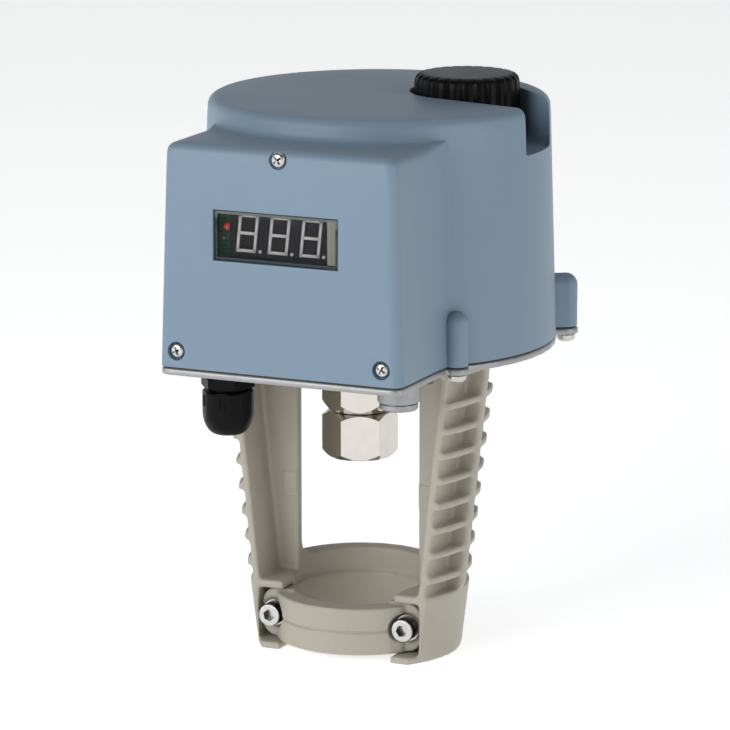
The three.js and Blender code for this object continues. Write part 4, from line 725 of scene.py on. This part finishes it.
def section_group():
    """Flat-based turned body: its section is a superellipse and flutes may run up its side."""
    tree, given, out = shape_tree("turned_form", TURNED_SIZES)
    grid, at, turn = unit_grid(tree, given["Segments"], plus(tree, given["Rows"], 1.0))
    rise = times(tree, at["Y"], pi)
    power = math(tree, "DIVIDE", 2.0, given["Squareness"])
    spread = math(tree, "MAXIMUM", minus(tree, math(tree, "COSINE", rise), 0.00001), 0.0)
    lifted = math(tree, "MAXIMUM", math(tree, "SINE", rise), 0.0)
    wave = math(tree, "COSINE", times(tree, turn, given["Flutes"]))
    groove = math(tree, "POWER", times(tree, plus(tree, wave, 1.0), 0.5), 3.0)
    radius = minus(tree, given["Radius"], times(tree, groove, given["Flute depth"]))
    reach = times(tree, radius, math(tree, "POWER", spread, power))
    height = times(tree, given["Height"], math(tree, "POWER", lifted, power))
    tree.links.new(wrapped(tree, grid, reach, turn, height), out["Geometry"])
    return tree


TURNED = section_group()


def turned_form(tree, sizes):
    return add(tree, "GeometryNodeGroup", sizes, node_tree=TURNED).outputs[0]


def joined(tree, *parts):
    node = tree.nodes.new("GeometryNodeJoinGeometry")
    for part in parts:
        tree.links.new(part, node.inputs[0])
    return node.outputs[0]


def moved(tree, part, shift, turn=(0, 0, 0)):
    sockets = {"Geometry": part, "Translation": shift, "Rotation": turn}
    return add(tree, "GeometryNodeTransform", sockets).outputs[0]


def drilled(tree, part, tool):
    sockets = {"Mesh 1": part, "Mesh 2": tool}
    return add(tree, "GeometryNodeMeshBoolean", sockets, operation="DIFFERENCE").outputs[0]


def ended(tree, out, part, material):
    """Every tree ends alike: plain mesh, smooth faces, its material."""
    plain = add(tree, "GeometryNodeRealizeInstances", {"Geometry": part})
    smooth = add(tree, "GeometryNodeSetShadeSmooth", {"Geometry": plain.outputs[0]})
    painted = add(tree, "GeometryNodeSetMaterial", {"Geometry": smooth.outputs[0], "Material": material})
    tree.links.new(painted.outputs[0], out["Geometry"])
    return tree


def turned_tree(material):
    """The turned form as a piece of its own."""
    tree, given, out = shape_tree("turned_piece", TURNED_SIZES)
    return ended(tree, out, turned_form(tree, {name: given[name] for name in TURNED_SIZES}), material)


def on_each_point(tree, given, out, part, material):
    """Copies of part on the object's points, turned by Aim and then at random round their own axis."""
    copies = add(tree, "GeometryNodeInstanceOnPoints", {
        "Points": given["Geometry"], "Instance": part, "Rotation": given["Aim"]})
    twist = add(tree, "FunctionNodeRandomValue", {2: 0.0, 3: given["Twist"], "Seed": 4})
    spun = add(tree, "GeometryNodeRotateInstances", {
        "Instances": copies.outputs[0], "Rotation": xyz(tree, {"Z": twist.outputs[1]})})
    return ended(tree, out, spun.outputs[0], material)


def with_shank(tree, given, head, sides):
    shank = cylinder(tree, sides, given["Shank radius"], given["Length"])
    drop = xyz(tree, {"Z": times(tree, given["Length"], -0.5)})
    return joined(tree, head, moved(tree, shank, drop))


SCREW_SIZES = {**GEOMETRY, "Aim": (0.0, 0.0, 0.0), "Twist": 0.0, "Head radius": 0.003, "Head height": 0.002,
               "Shank radius": 0.0015, "Length": 0.01}


def cross_screw_tree(material):
    tree, given, out = shape_tree("cross_screw", {**SCREW_SIZES, "Recess": 0.0008})
    recess, height = given["Recess"], given["Head height"]
    head = turned_form(tree, {"Radius": given["Head radius"], "Height": height, "Squareness": 3.2,
                              "Segments": 40})
    long = times(tree, recess, 4.2)
    arms = [add(tree, "GeometryNodeMeshCube", {"Size": xyz(tree, {
        "X": x, "Y": y, "Z": times(tree, recess, 2.6)})}).outputs["Mesh"]
        for x, y in ((recess, long), (long, recess))]
    lift = xyz(tree, {"Z": height})
    for arm in arms:
        head = drilled(tree, head, moved(tree, arm, lift))
    return on_each_point(tree, given, out, with_shank(tree, given, head, 24), material)


def grow(piece, tree, inputs):
    """The piece becomes what the tree makes of it; inputs are set by socket identifier."""
    maker = piece.modifiers.new(piece.name, "NODES")
    maker.node_group = tree
    for item in tree.interface.items_tree:
        if item.in_out == "INPUT" and item.name in inputs:
            maker[item.identifier] = inputs[item.name]
    settle(piece)


def grown(name, tree, inputs, points=((0, 0, 0),)):
    """Plain mesh that a tree makes from loose points."""
    piece = new_piece(name, points, [])
    grow(piece, tree, inputs)
    piece.data.set_sharp_from_angle(angle=radians(34))
    return piece


def screw_steel(name):
    return finish(name, (0.60, 0.59, 0.57), 0.26, metallic=1.0, tint=0.85, patch=500.0, depth=0.000004)


stainless = screw_steel("stainless_screw")
CROSS_SCREW = cross_screw_tree(stainless)
HEAD_DOWN, HEAD_FRONT = (pi, 0.0, 0.0), (pi / 2, 0.0, 0.0)


def set_of_screws(name, node, aim, head, shank, recess, length, places):
    """head is (radius, height); length is that of the whole screw."""
    screws = grown(name, CROSS_SCREW, {
        "Aim": aim, "Twist": pi, "Head radius": head[0], "Head height": head[1], "Shank radius": shank,
        "Length": length - head[1], "Recess": recess}, places)
    hand_over(screws, "stainless", "housing", *[f"{node}_{k + 1}" for k in range(len(places))])


PAN = 0.0026                      # height of the pan heads
pan_low, pan_high = screw_boxes[0]
set_of_screws("cover_screws", "cover_screw", HEAD_DOWN, (0.0036, PAN), 0.0015, 0.0009,
              pan_high.z - pan_low.z, [(x, y, pan_low.z + PAN) for x, y in boss_places])
SMALL_HEAD = 0.002
small_low, small_high = front_screws[0]
set_of_screws("front_screws", "front_screw", HEAD_FRONT, (0.0027, SMALL_HEAD), 0.00135, 0.0008,
              small_high.y - small_low.y, [(x, y + SMALL_HEAD, z) for x, y, z in screw_faces])
yoke_boxes = [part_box(f"yoke_screw_{k}") for k in (1, 2, 3, 4)]
set_of_screws("yoke_screws", "yoke_screw", HEAD_DOWN, (0.0035, PAN), 0.002, 0.0009,
              yoke_boxes[0][1].z - yoke_boxes[0][0].z,
              [(*middle_of(a, b)[:2], a.z + PAN) for a, b in yoke_boxes])


# ---- clamp screws and washers ----
# Two socket-head cap screws draw the clamp bar to the yoke. Their heads are turned steel with a
# diamond-cut grip on the side, a bright chamfered rim and a broached hexagon. Each sits on a
# punched washer.

def socket_screw_tree(material):
    tree, given, out = shape_tree("socket_screw", {**SCREW_SIZES, "Socket radius": 0.0023,
                                                   "Socket depth": 0.0026})
    height = given["Head height"]
    head = turned_form(tree, {"Radius": given["Head radius"], "Height": height, "Squareness": 17.0,
                              "Flutes": 44,
                              "Flute depth": 0.0002, "Rows": 40, "Segments": 264})
    broach = cylinder(tree, 6, given["Socket radius"], times(tree, given["Socket depth"], 2.0))
    mouth = add(tree, "GeometryNodeMeshCone", {
        "Vertices": 40, "Radius Top": times(tree, given["Socket radius"], 1.25),
        "Radius Bottom": times(tree, given["Socket radius"], 0.75), "Depth": 0.001}).outputs["Mesh"]
    lift = xyz(tree, {"Z": height})
    low_lift = xyz(tree, {"Z": minus(tree, height, 0.0005)})
    head = drilled(tree, drilled(tree, head, moved(tree, broach, lift)), moved(tree, mouth, low_lift))
    return on_each_point(tree, given, out, with_shank(tree, given, head, 32), material)


def turned(name, profile, centre=(0, 0), sides=64, closed=False):
    """Profile of (radius, height) pairs turned about an upright axis, capped unless it closes."""
    points = [(centre[0] + radius * cos(2 * pi * k / sides), centre[1] + radius * sin(2 * pi * k / sides), z)
              for radius, z in profile for k in range(sides)]
    last = (len(profile) - 1) * sides
    faces = quads(len(profile), sides)
    if closed:
        faces += [(last + k, last + (k + 1) % sides, (k + 1) % sides, k) for k in range(sides)]
    else:
        faces += [tuple(range(sides))[::-1], tuple(range(last, last + sides))]
    piece = new_piece(name, points, faces)
    tidy_mesh(piece)
    return piece


def lie_along_y(piece, centre):
    """Turns an upright piece so that its height runs along Y, and moves it to centre."""
    piece.data.transform(Matrix.Translation(Vector(centre)) @ Matrix.Rotation(-pi / 2, 4, "X"))


CLAMP_HEAD = 0.005
clamp_steel = screw_steel("clamp_screw_steel")
steel_tree = clamp_steel.node_tree
facing = split(steel_tree, add(steel_tree, "ShaderNodeTexCoord").outputs["Normal"])
# The grip side of each head is coloured near black: painted shade, standing in for the dark look of the knurled
# side in shadow.
grip = math(steel_tree, "LESS_THAN", math(steel_tree, "ABSOLUTE", facing["Y"]), 0.35)
overlay(clamp_steel, grip, (0.03, 0.028, 0.026))
SOCKET_SCREW = socket_screw_tree(clamp_steel)
clamp_boxes = [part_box(f"clamp_screw_{side}") for side in ("left", "right")]
clamp_at = [((a.x + b.x) / 2, a.y + CLAMP_HEAD, (a.z + b.z) / 2) for a, b in clamp_boxes]
clamp_screws = grown("clamp_screws", SOCKET_SCREW, {
    "Aim": HEAD_FRONT, "Twist": 1.0, "Head radius": 0.00425, "Head height": CLAMP_HEAD, "Shank radius": 0.0024,
    "Length": clamp_boxes[0][1].y - clamp_boxes[0][0].y - CLAMP_HEAD}, clamp_at)
hand_over(clamp_screws, "stainless", "housing", "clamp_screw_left", "clamp_screw_right")

for side, (x, y, z) in zip(("left", "right"), clamp_at):
    washer_low, washer_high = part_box(f"clamp_washer_{side}")
    thick, chamfer = washer_high.y - washer_low.y, 0.00015
    washer = turned(f"washer_{side}", [
        (0.0027, 0), (0.00495 - chamfer, 0), (0.00495, chamfer), (0.00495, thick - chamfer),
        (0.00495 - chamfer, thick), (0.0027, thick)], closed=True)
    lie_along_y(washer, (x, washer_low.y, z))
    dress(washer, 30, stainless, "stainless", "housing", f"clamp_washer_{side}")


# ---- display ----
# Clear polycarbonate window, glued in from the front; its rim is coloured near black as painted
# shadow of the shaded gap round it. Behind it stand a three-digit module, pale segments in a black
# face on a light-grey body that is brightened by a faint painted glow, and a red status light, both
# soldered to a small green board.

def board_finish(name):
    """Green solder resist over copper tracks, with tinned pads."""
    material = finish(name, (0.02, 0.19, 0.085), 0.32, tint=0.8, patch=200.0, depth=0.000004, coat=0.3)
    tree = material.node_tree
    at = on_object(tree)
    flat = add(tree, "ShaderNodeMapping", {"Vector": at, "Rotation": (pi / 2, 0, 0)}).outputs[0]
    tracks = add(tree, "ShaderNodeTexBrick", {
        "Vector": flat, "Scale": 190.0, "Color1": (0, 0, 0, 1), "Color2": (0, 0, 0, 1), "Mortar": (1, 1, 1, 1),
        "Mortar Size": 0.06, "Brick Width": 1.9, "Row Height": 0.3})
    pads = add(tree, "ShaderNodeTexVoronoi", {"Vector": flat, "Scale": 330.0, "Randomness": 0.6})
    pad = math(tree, "LESS_THAN", pads.outputs["Distance"], 0.2)
    overlay(material, times(tree, tracks.outputs["Fac"], 0.6), (0.05, 0.33, 0.14))
    overlay(material, pad, (0.62, 0.62, 0.6))
    return material


lens_clear = finish("window_polycarbonate", (0.02, 0.025, 0.028), 0.06, spread=0.01, depth=0.000002)
lens_tree = lens_clear.node_tree
lens_at = split(lens_tree, on_object(lens_tree))
# The rim of the window is coloured near black and made nearly opaque: a painted shadow of the shaded gap round
# the pane.
RIM_SHADE_WIDTH = 0.0011
RIM_SHADE_COVER, CLEAR_COVER = 0.93, 0.12          # how much light each part of the window holds back
lens_mid, lens_half = (LENS_LOW + LENS_HIGH) / 2, (LENS_HIGH - LENS_LOW) / 2
rim_shade_masks = []
for axis, middle, half in (("X", lens_mid.x, lens_half.x), ("Z", lens_mid.z, lens_half.z)):
    away = math(lens_tree, "ABSOLUTE", minus(lens_tree, lens_at[axis], middle))
    rim_shade_masks.append(math(lens_tree, "GREATER_THAN", away, half - RIM_SHADE_WIDTH))
rim_painted_shade = math(lens_tree, "MAXIMUM", *rim_shade_masks)
overlay(lens_clear, rim_painted_shade, (0.012, 0.02, 0.024))
alpha = math(lens_tree, "MAXIMUM", times(lens_tree, rim_painted_shade, RIM_SHADE_COVER), CLEAR_COVER)
lens_tree.links.new(alpha, lens_tree.nodes["Principled BSDF"].inputs["Alpha"])
lens = block("window_pane", LENS_LOW, LENS_HIGH)
soften_edges(lens, 0.0002, 2, lambda at: at.y < lens_mid.y)
dress(lens, 40, lens_clear, "clear_lens", "housing", "display_window")

face_black = finish("display_face", (0.006, 0.006, 0.009), 0.4, tint=0.8, depth=0.000004, ior=1.2)
module_grey_painted_glow = finish("display_body_painted_glow", (0.78, 0.74, 0.69), 0.5, tint=0.95)
# The display body glows faintly: painted light that brightens it beyond the light reaching it behind the
# window.
glow(module_grey_painted_glow, (0.78, 0.74, 0.69), 0.3)
segment_pale = finish("display_segments", (0.70, 0.66, 0.64), 0.45, tint=0.95, depth=0.000004)


def segment_tree(material):
    """Bars on points: each is as long as its point's length and stands if its turn says so."""
    tree, given, out = shape_tree("display_bars", {
        **GEOMETRY, "Stroke": 0.0012, "Depth": 0.0003, "Slant": 0.1, "Middle": 0.0})
    bar_size = xyz(tree, {"X": 1.0, "Y": given["Depth"], "Z": given["Stroke"]})
    turn, length = [add(tree, "GeometryNodeInputNamedAttribute", {"Name": name}, data_type="FLOAT").outputs[0]
                    for name in ("turn", "length")]
    copies = add(tree, "GeometryNodeInstanceOnPoints", {
        "Points": given["Geometry"],
        "Instance": add(tree, "GeometryNodeMeshCube", {"Size": bar_size}).outputs["Mesh"],
        "Rotation": xyz(tree, {"Y": turn}),
        "Scale": xyz(tree, {"X": length, "Y": 1.0, "Z": 1.0})})
    plain = add(tree, "GeometryNodeRealizeInstances", {"Geometry": copies.outputs[0]})
    at = split(tree, add(tree, "GeometryNodeInputPosition").outputs[0])
    lean = times(tree, minus(tree, at["Z"], given["Middle"]), given["Slant"])
    slanted = add(tree, "GeometryNodeSetPosition", {
        "Geometry": plain.outputs[0], "Offset": xyz(tree, {"X": lean})})
    return ended(tree, out, slanted.outputs[0], material)


MODULE_LOW, MODULE_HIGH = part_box("display_module")
DIGIT_PITCH, DIGIT_WIDE, DIGIT_HIGH, STROKE = 0.0123, 0.0066, 0.0126, 0.00105
digit_x = (MODULE_LOW.x + MODULE_HIGH.x) / 2 + 0.0004
digit_z = (LENS_LOW.z + LENS_HIGH.z) / 2 + 0.0009
places, turns, lengths = [], [], []
for digit in (-1, 0, 1):
    middle = digit_x + digit * DIGIT_PITCH
    bars = [(0, level * DIGIT_HIGH / 2, 0.0, DIGIT_WIDE + (STROKE if level else -STROKE))
            for level in (-1, 0, 1)]
    bars += [(side * DIGIT_WIDE / 2, level * DIGIT_HIGH / 4, pi / 2, DIGIT_HIGH / 2 - 0.0001)
             for side in (-1, 1) for level in (-1, 1)]
    bars += [(DIGIT_WIDE / 2 + 0.0022, -DIGIT_HIGH / 2, 0.0, STROKE)]
    for dx, dz, turn, length in bars:
        places.append((middle + dx, MODULE_LOW.y + 0.00005, digit_z + dz))
        turns.append(turn)
        lengths.append(length)
digits = new_piece("digits", places, [])
for label, values in (("turn", turns), ("length", lengths)):
    digits.data.attributes.new(label, "FLOAT", "POINT").data.foreach_set("value", values)
grow(digits, segment_tree(segment_pale), {
    "Stroke": STROKE, "Depth": 0.0003, "Slant": tan(radians(6)), "Middle": digit_z})
module = block("display_module_body", MODULE_LOW, MODULE_HIGH)
paint(module, module_grey_painted_glow, face_black)
for face in module.data.polygons:
    face.material_index = 1 if face.normal.y < -0.5 else 0
hand_over(module, "black_plastic", "housing", "display_module")
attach(digits, "housing")

board_green = board_finish("board_laminate")
coat(board_green, "display_board", "control_board")

led_red = finish("led_lens", (0.62, 0.015, 0.02), 0.18, tint=0.9, depth=0.000002, coat=0.5)
glow(led_red, (0.9, 0.05, 0.05), 0.12)
LED_LOW, LED_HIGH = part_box("status_led")
led = grown("status_light", turned_tree(led_red), {
    "Radius": (LED_HIGH.x - LED_LOW.x) / 2, "Height": LED_HIGH.y - LED_LOW.y, "Squareness": 5.0, "Rows": 32})
led_x, _, led_z = middle_of(LED_LOW, LED_HIGH)
led.data.transform(Matrix.Translation((led_x, LED_HIGH.y, led_z)) @ Matrix.Rotation(pi / 2, 4, "X"))
shade(led)
hand_over(led, "led_red", "housing", "status_led")


# ---- union nut and lock nut ----
# Both nuts of the coupling are milled from hexagon bar and bright nickel-plated, with turned cone
# chamfers on their rims. The union nut below turns freely; the lock nut above is fast on the stem.

NUT_FLATS = 0.024
NUT_TURN = 24.3
nickel = finish("bright_nickel", (0.70, 0.66, 0.62), 0.13, metallic=1.0, tint=0.93, patch=160.0, grain=3000.0,
                spread=0.05, depth=0.0000015)


def hexagon(across, turn, low, high, centre):
    corner = across / 2 / cos(pi / 6)
    turns = [radians(turn - 60 + 60 * k) for k in range(6)]
    return prism("hexagon", [(centre[0] + corner * cos(t), centre[1] + corner * sin(t), low) for t in turns],
                 (0, 0, high - low))


def hex_blank(name, across, turn, low, high, below, above, centre):
    """Hexagon bar with both rims turned to a cone."""
    corner, land = across / 2 / cos(pi / 6) + 0.0001, across / 2 - 0.0004
    piece = hexagon(across, turn, low, high, centre)
    piece.name = name
    cone = turned("cone", [(land, low), (corner, low + below), (corner, high - above), (land,
                                                                                        high)], centre, 128)
    combine(piece, cone, "INTERSECT")
    return piece


def bored(piece, radius, low, high, centre, chamfer=0.0006):
    """Hole through the piece, with a chamfer at its lower end."""
    combine(piece, turned("drill", [(radius + chamfer + 0.001, low - 0.001), (radius, low + chamfer),
                                    (radius, high + 0.001)], centre), "DIFFERENCE")


NUT_LOW, NUT_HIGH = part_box("union_nut")
AXIS = (0, STEM_Y)
union_nut = hex_blank("union_nut_body", NUT_FLATS, NUT_TURN, NUT_LOW.z, NUT_HIGH.z, 0.0022, 0.0022, AXIS)
bored(union_nut, 0.0066, NUT_LOW.z, NUT_HIGH.z, AXIS)
dress(union_nut, 24, nickel, "nickel", "coupling", "union_nut")

LOCK_LOW, LOCK_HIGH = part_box("lock_nut")
LOCK_HEX_TOP = LOCK_HIGH.z - 0.004
lock_nut = hex_blank("lock_nut_body", NUT_FLATS, NUT_TURN, LOCK_LOW.z, LOCK_HEX_TOP, 0.0032, 0.0022, AXIS)
combine(lock_nut, turned("neck", [(0.009, LOCK_HEX_TOP - 0.001), (0.009, LOCK_HIGH.z - 0.0004),
                                  (0.0086, LOCK_HIGH.z)], AXIS, 96), "UNION")
bored(lock_nut, 0.0063, LOCK_LOW.z, LOCK_HIGH.z, AXIS, 0.0003)
dress(lock_nut, 24, nickel, "nickel", "stem", "lock_nut")


# ---- stem ----
# Ground stainless spindle with a rolled trapezoidal thread of 4 mm pitch. A fork-ended zinc-plated
# arm, pinned by a clip ring, keeps it from turning and trips the limit switches.

def thread_tree(material):
    tree, given, out = shape_tree("rolled_thread", {
        "Radius": 0.006, "Length": 0.09, "Pitch": 0.004, "Depth": 0.0008, "Rows": 360, "Segments": 48})
    radius, length = given["Radius"], given["Length"]
    grid, at, turn = unit_grid(tree, given["Segments"], given["Rows"])
    height = times(tree, plus(tree, at["Y"], 0.5), length)
    phase = math(tree, "FRACT", minus(tree, math(tree, "DIVIDE", height, given["Pitch"]), at["X"]))
    flank = times(tree, math(tree, "ABSOLUTE", minus(tree, phase, 0.5)), 2.0)
    groove = add(tree, "ShaderNodeMapRange", {"Value": flank, "From Min": 0.4, "From Max": 0.6}).outputs[0]
    reach = minus(tree, radius, times(tree, groove, given["Depth"]))
    core = cylinder(tree, 48, minus(tree, radius, given["Depth"]), length)
    half = xyz(tree, {"Z": times(tree, length, 0.5)})
    both = joined(tree, wrapped(tree, grid, reach, turn, height), moved(tree, core, half))
    return ended(tree, out, both, material)


stem_steel = finish("ground_stainless", (0.58, 0.57, 0.56), 0.22, metallic=1.0, tint=0.9, patch=300.0,
                    depth=0.000003)
spindle = grown("threaded_spindle", thread_tree(stem_steel),
                {"Radius": (STEM[1].x - STEM[0].x) / 2, "Length": STEM[1].z - STEM[0].z})
spindle.data.transform(Matrix.Translation((0, STEM_Y, STEM[0].z)))
hand_over(spindle, "stainless", "stem", "spindle")

zinc = finish("zinc_plate", (0.52, 0.54, 0.57), 0.34, metallic=1.0, tint=0.8, patch=420.0, depth=0.000006)
coat(zinc, "trip_arm", "arm_clip")


# ---- hand knob ----
# Black injection moulding, round with rounded edges and shallow finger flutes, pressed on the top
# of its steel shaft. A lip seal stands round the shaft in the floor of the well.

black_knob = finish("knob_black", (0.003, 0.003, 0.0035), 0.34, tint=0.8, grain=2200.0, depth=0.000012, ior=1.2)
knob = grown("knob_moulding", turned_tree(black_knob), {
    "Radius": KNOB_RADIUS, "Height": KNOB_HIGH.z - KNOB_LOW.z, "Squareness": 15.0, "Flutes": 24,
    "Flute depth": 0.0009, "Rows": 96, "Segments": 384})
knob.data.transform(Matrix.Translation((KNOB_X, KNOB_Y, KNOB_LOW.z)))
shade(knob)
hand_over(knob, "black_plastic", "knob", "hand_knob")
coat(stem_steel, "knob_shaft")
coat(rubber, "shaft_seal")


# ---- cable gland ----
# Black polyamide gland screwed into the left entry: a body with a hexagon flange, and a domed cap
# nut with flats and grip ribs that presses the seal round the cable. No cable is fitted.

def rib_tree(material):
    """Upright ribs in a ring."""
    tree, given, out = shape_tree("grip_ribs", {
        "Count": 36, "Ring radius": 0.009, "Rib width": 0.0006, "Rib height": 0.006})
    ring = add(tree, "GeometryNodeMeshCircle", {"Vertices": given["Count"], "Radius": given["Ring radius"]})
    rib = cylinder(tree, 10, given["Rib width"], given["Rib height"])
    copies = add(tree, "GeometryNodeInstanceOnPoints", {"Points": ring.outputs["Mesh"], "Instance": rib})
    return ended(tree, out, copies.outputs[0], material)


GLAND_FLATS, GLAND_TURN = 0.0174, 10
gland_black = finish("gland_polyamide", (0.0025, 0.0025, 0.003), 0.4, tint=0.8, grain=2600.0, depth=0.00001,
                     ior=1.2)
GLAND_LOW, GLAND_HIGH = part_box("gland_body")
CAP_LOW, CAP_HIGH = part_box("gland_cap")
GLAND = middle_of(CAP_LOW, CAP_HIGH)[:2]
flange_top = CAP_HIGH.z + 0.0052
gland_body = hex_blank("gland_moulding", GLAND_FLATS, GLAND_TURN, CAP_HIGH.z + 0.001, flange_top,
                       0.0006, 0.0006, GLAND)
for radius, low, high in ((0.006, flange_top - 0.0005, GLAND_HIGH.z),
                          (0.0066, GLAND_LOW.z, flange_top - 0.002)):
    combine(gland_body, turned("barrel", [(radius, low), (radius, high)], GLAND), "UNION")
bored(gland_body, 0.0042, GLAND_LOW.z, GLAND_HIGH.z, GLAND)
dress(gland_body, 28, gland_black, "black_plastic", "housing", "gland_body")

cap_bottom, cap_top = CAP_LOW.z, CAP_HIGH.z
dome = [(0.0042 + 0.0051 * sin(t), cap_bottom + 0.009 * (1 - cos(t)))
        for t in [k * pi / 24 for k in range(13)]]
cap = turned("gland_cap_nut", dome + [(0.0093, cap_top - 0.0005), (0.0088, cap_top)], GLAND, 128)
combine(cap, hexagon(GLAND_FLATS + 0.0002, GLAND_TURN, cap_bottom - 0.001, cap_top + 0.001, GLAND), "INTERSECT")
combine(cap, turned("cage_room", [(0.0072, cap_top - 0.0044), (0.0072, cap_top + 0.001)], GLAND), "DIFFERENCE")
bored(cap, 0.0034, cap_bottom, cap_top, GLAND)
paint(cap, gland_black)
shade(cap, 28)
ribs = grown("ribs", rib_tree(gland_black), {
    "Count": 30, "Ring radius": 0.00872, "Rib width": 0.0004, "Rib height": 0.0042})
ribs.data.transform(Matrix.Translation((*GLAND, cap_top - 0.0036)))
join_into(cap, ribs)
hand_over(cap, "black_plastic", "housing", "gland_cap")
coat(rubber, "gland_seal")
coat(nickel, "gland_locknut")


# ---- blanking plug ----
# Turned aluminium plug that closes the second cable entry, with a coin slot across its head.

PLUG_LOW, PLUG_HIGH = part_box("blanking_plug")
PLUG = middle_of(PLUG_LOW, PLUG_HIGH)[:2]
PLUG_RADIUS, PLUG_HEAD = (PLUG_HIGH.x - PLUG_LOW.x) / 2, 0.0022
plug = turned("plug_turning", [
    (PLUG_RADIUS - 0.0005, PLUG_LOW.z), (PLUG_RADIUS, PLUG_LOW.z + 0.0005), (PLUG_RADIUS,
                                                                             PLUG_LOW.z + PLUG_HEAD),
    (0.006, PLUG_LOW.z + PLUG_HEAD), (0.006, PLUG_HIGH.z)], PLUG, 96)
combine(plug, block("coin_slot", (PLUG[0] - 0.005, PLUG[1] - 0.0007, PLUG_LOW.z - 0.001),
                    (PLUG[0] + 0.005, PLUG[1] + 0.0007, PLUG_LOW.z + 0.001)), "DIFFERENCE")
turned_aluminium = finish("turned_aluminium", (0.34, 0.34, 0.345), 0.3, metallic=1.0, depth=0.000003)
dress(plug, 30, turned_aluminium, "cast_aluminium", "housing", "blanking_plug")


# ---- gear train and frame ----
# Machined brass gear with the stem nut cut in its hub, natural nylon wheels, a zinc-plated gear
# plate on three pillars, plain bearings, and a can motor with its brass pinion.

brass = finish("machined_brass", (0.60, 0.42, 0.17), 0.28, metallic=1.0, tint=0.86, patch=220.0, depth=0.000004)
nylon = finish("natural_nylon", (0.74, 0.71, 0.62), 0.45, tint=0.94, patch=80.0, grain=1800.0)
coat(brass, "drive_gear", "motor_pinion")
coat(nylon, "intermediate_gear", "knob_gear")
coat(zinc, "gear_plate", "gear_plate_pillar_1", "gear_plate_pillar_2", "gear_plate_pillar_3", "motor")
coat(stem_steel, "lower_bearing", "upper_bearing", "wheel_shaft", "guide_rod")


# ---- electronics and switches ----
# Carrier of black ABS behind the display, a transformer wound in yellow tape, a sleeved capacitor,
# a green screw terminal block, and two limit switches on a bent steel bracket.

inner_black = finish("inner_black_plastic", (0.018, 0.018, 0.02), 0.45, tint=0.8, grain=2400.0)
tape = finish("insulating_tape", (0.55, 0.40, 0.06), 0.35, tint=0.82, patch=260.0)
terminal_green = finish("terminal_green", (0.055, 0.31, 0.11), 0.42, tint=0.9)
sleeve = finish("capacitor_sleeve", (0.016, 0.018, 0.03), 0.25, tint=0.7, patch=150.0)
coat(inner_black, "board_carrier", "limit_switch_lower", "limit_switch_upper")
coat(tape, "transformer")
coat(sleeve, "capacitor")
coat(terminal_green, "terminal_block")
coat(zinc, "switch_bracket")
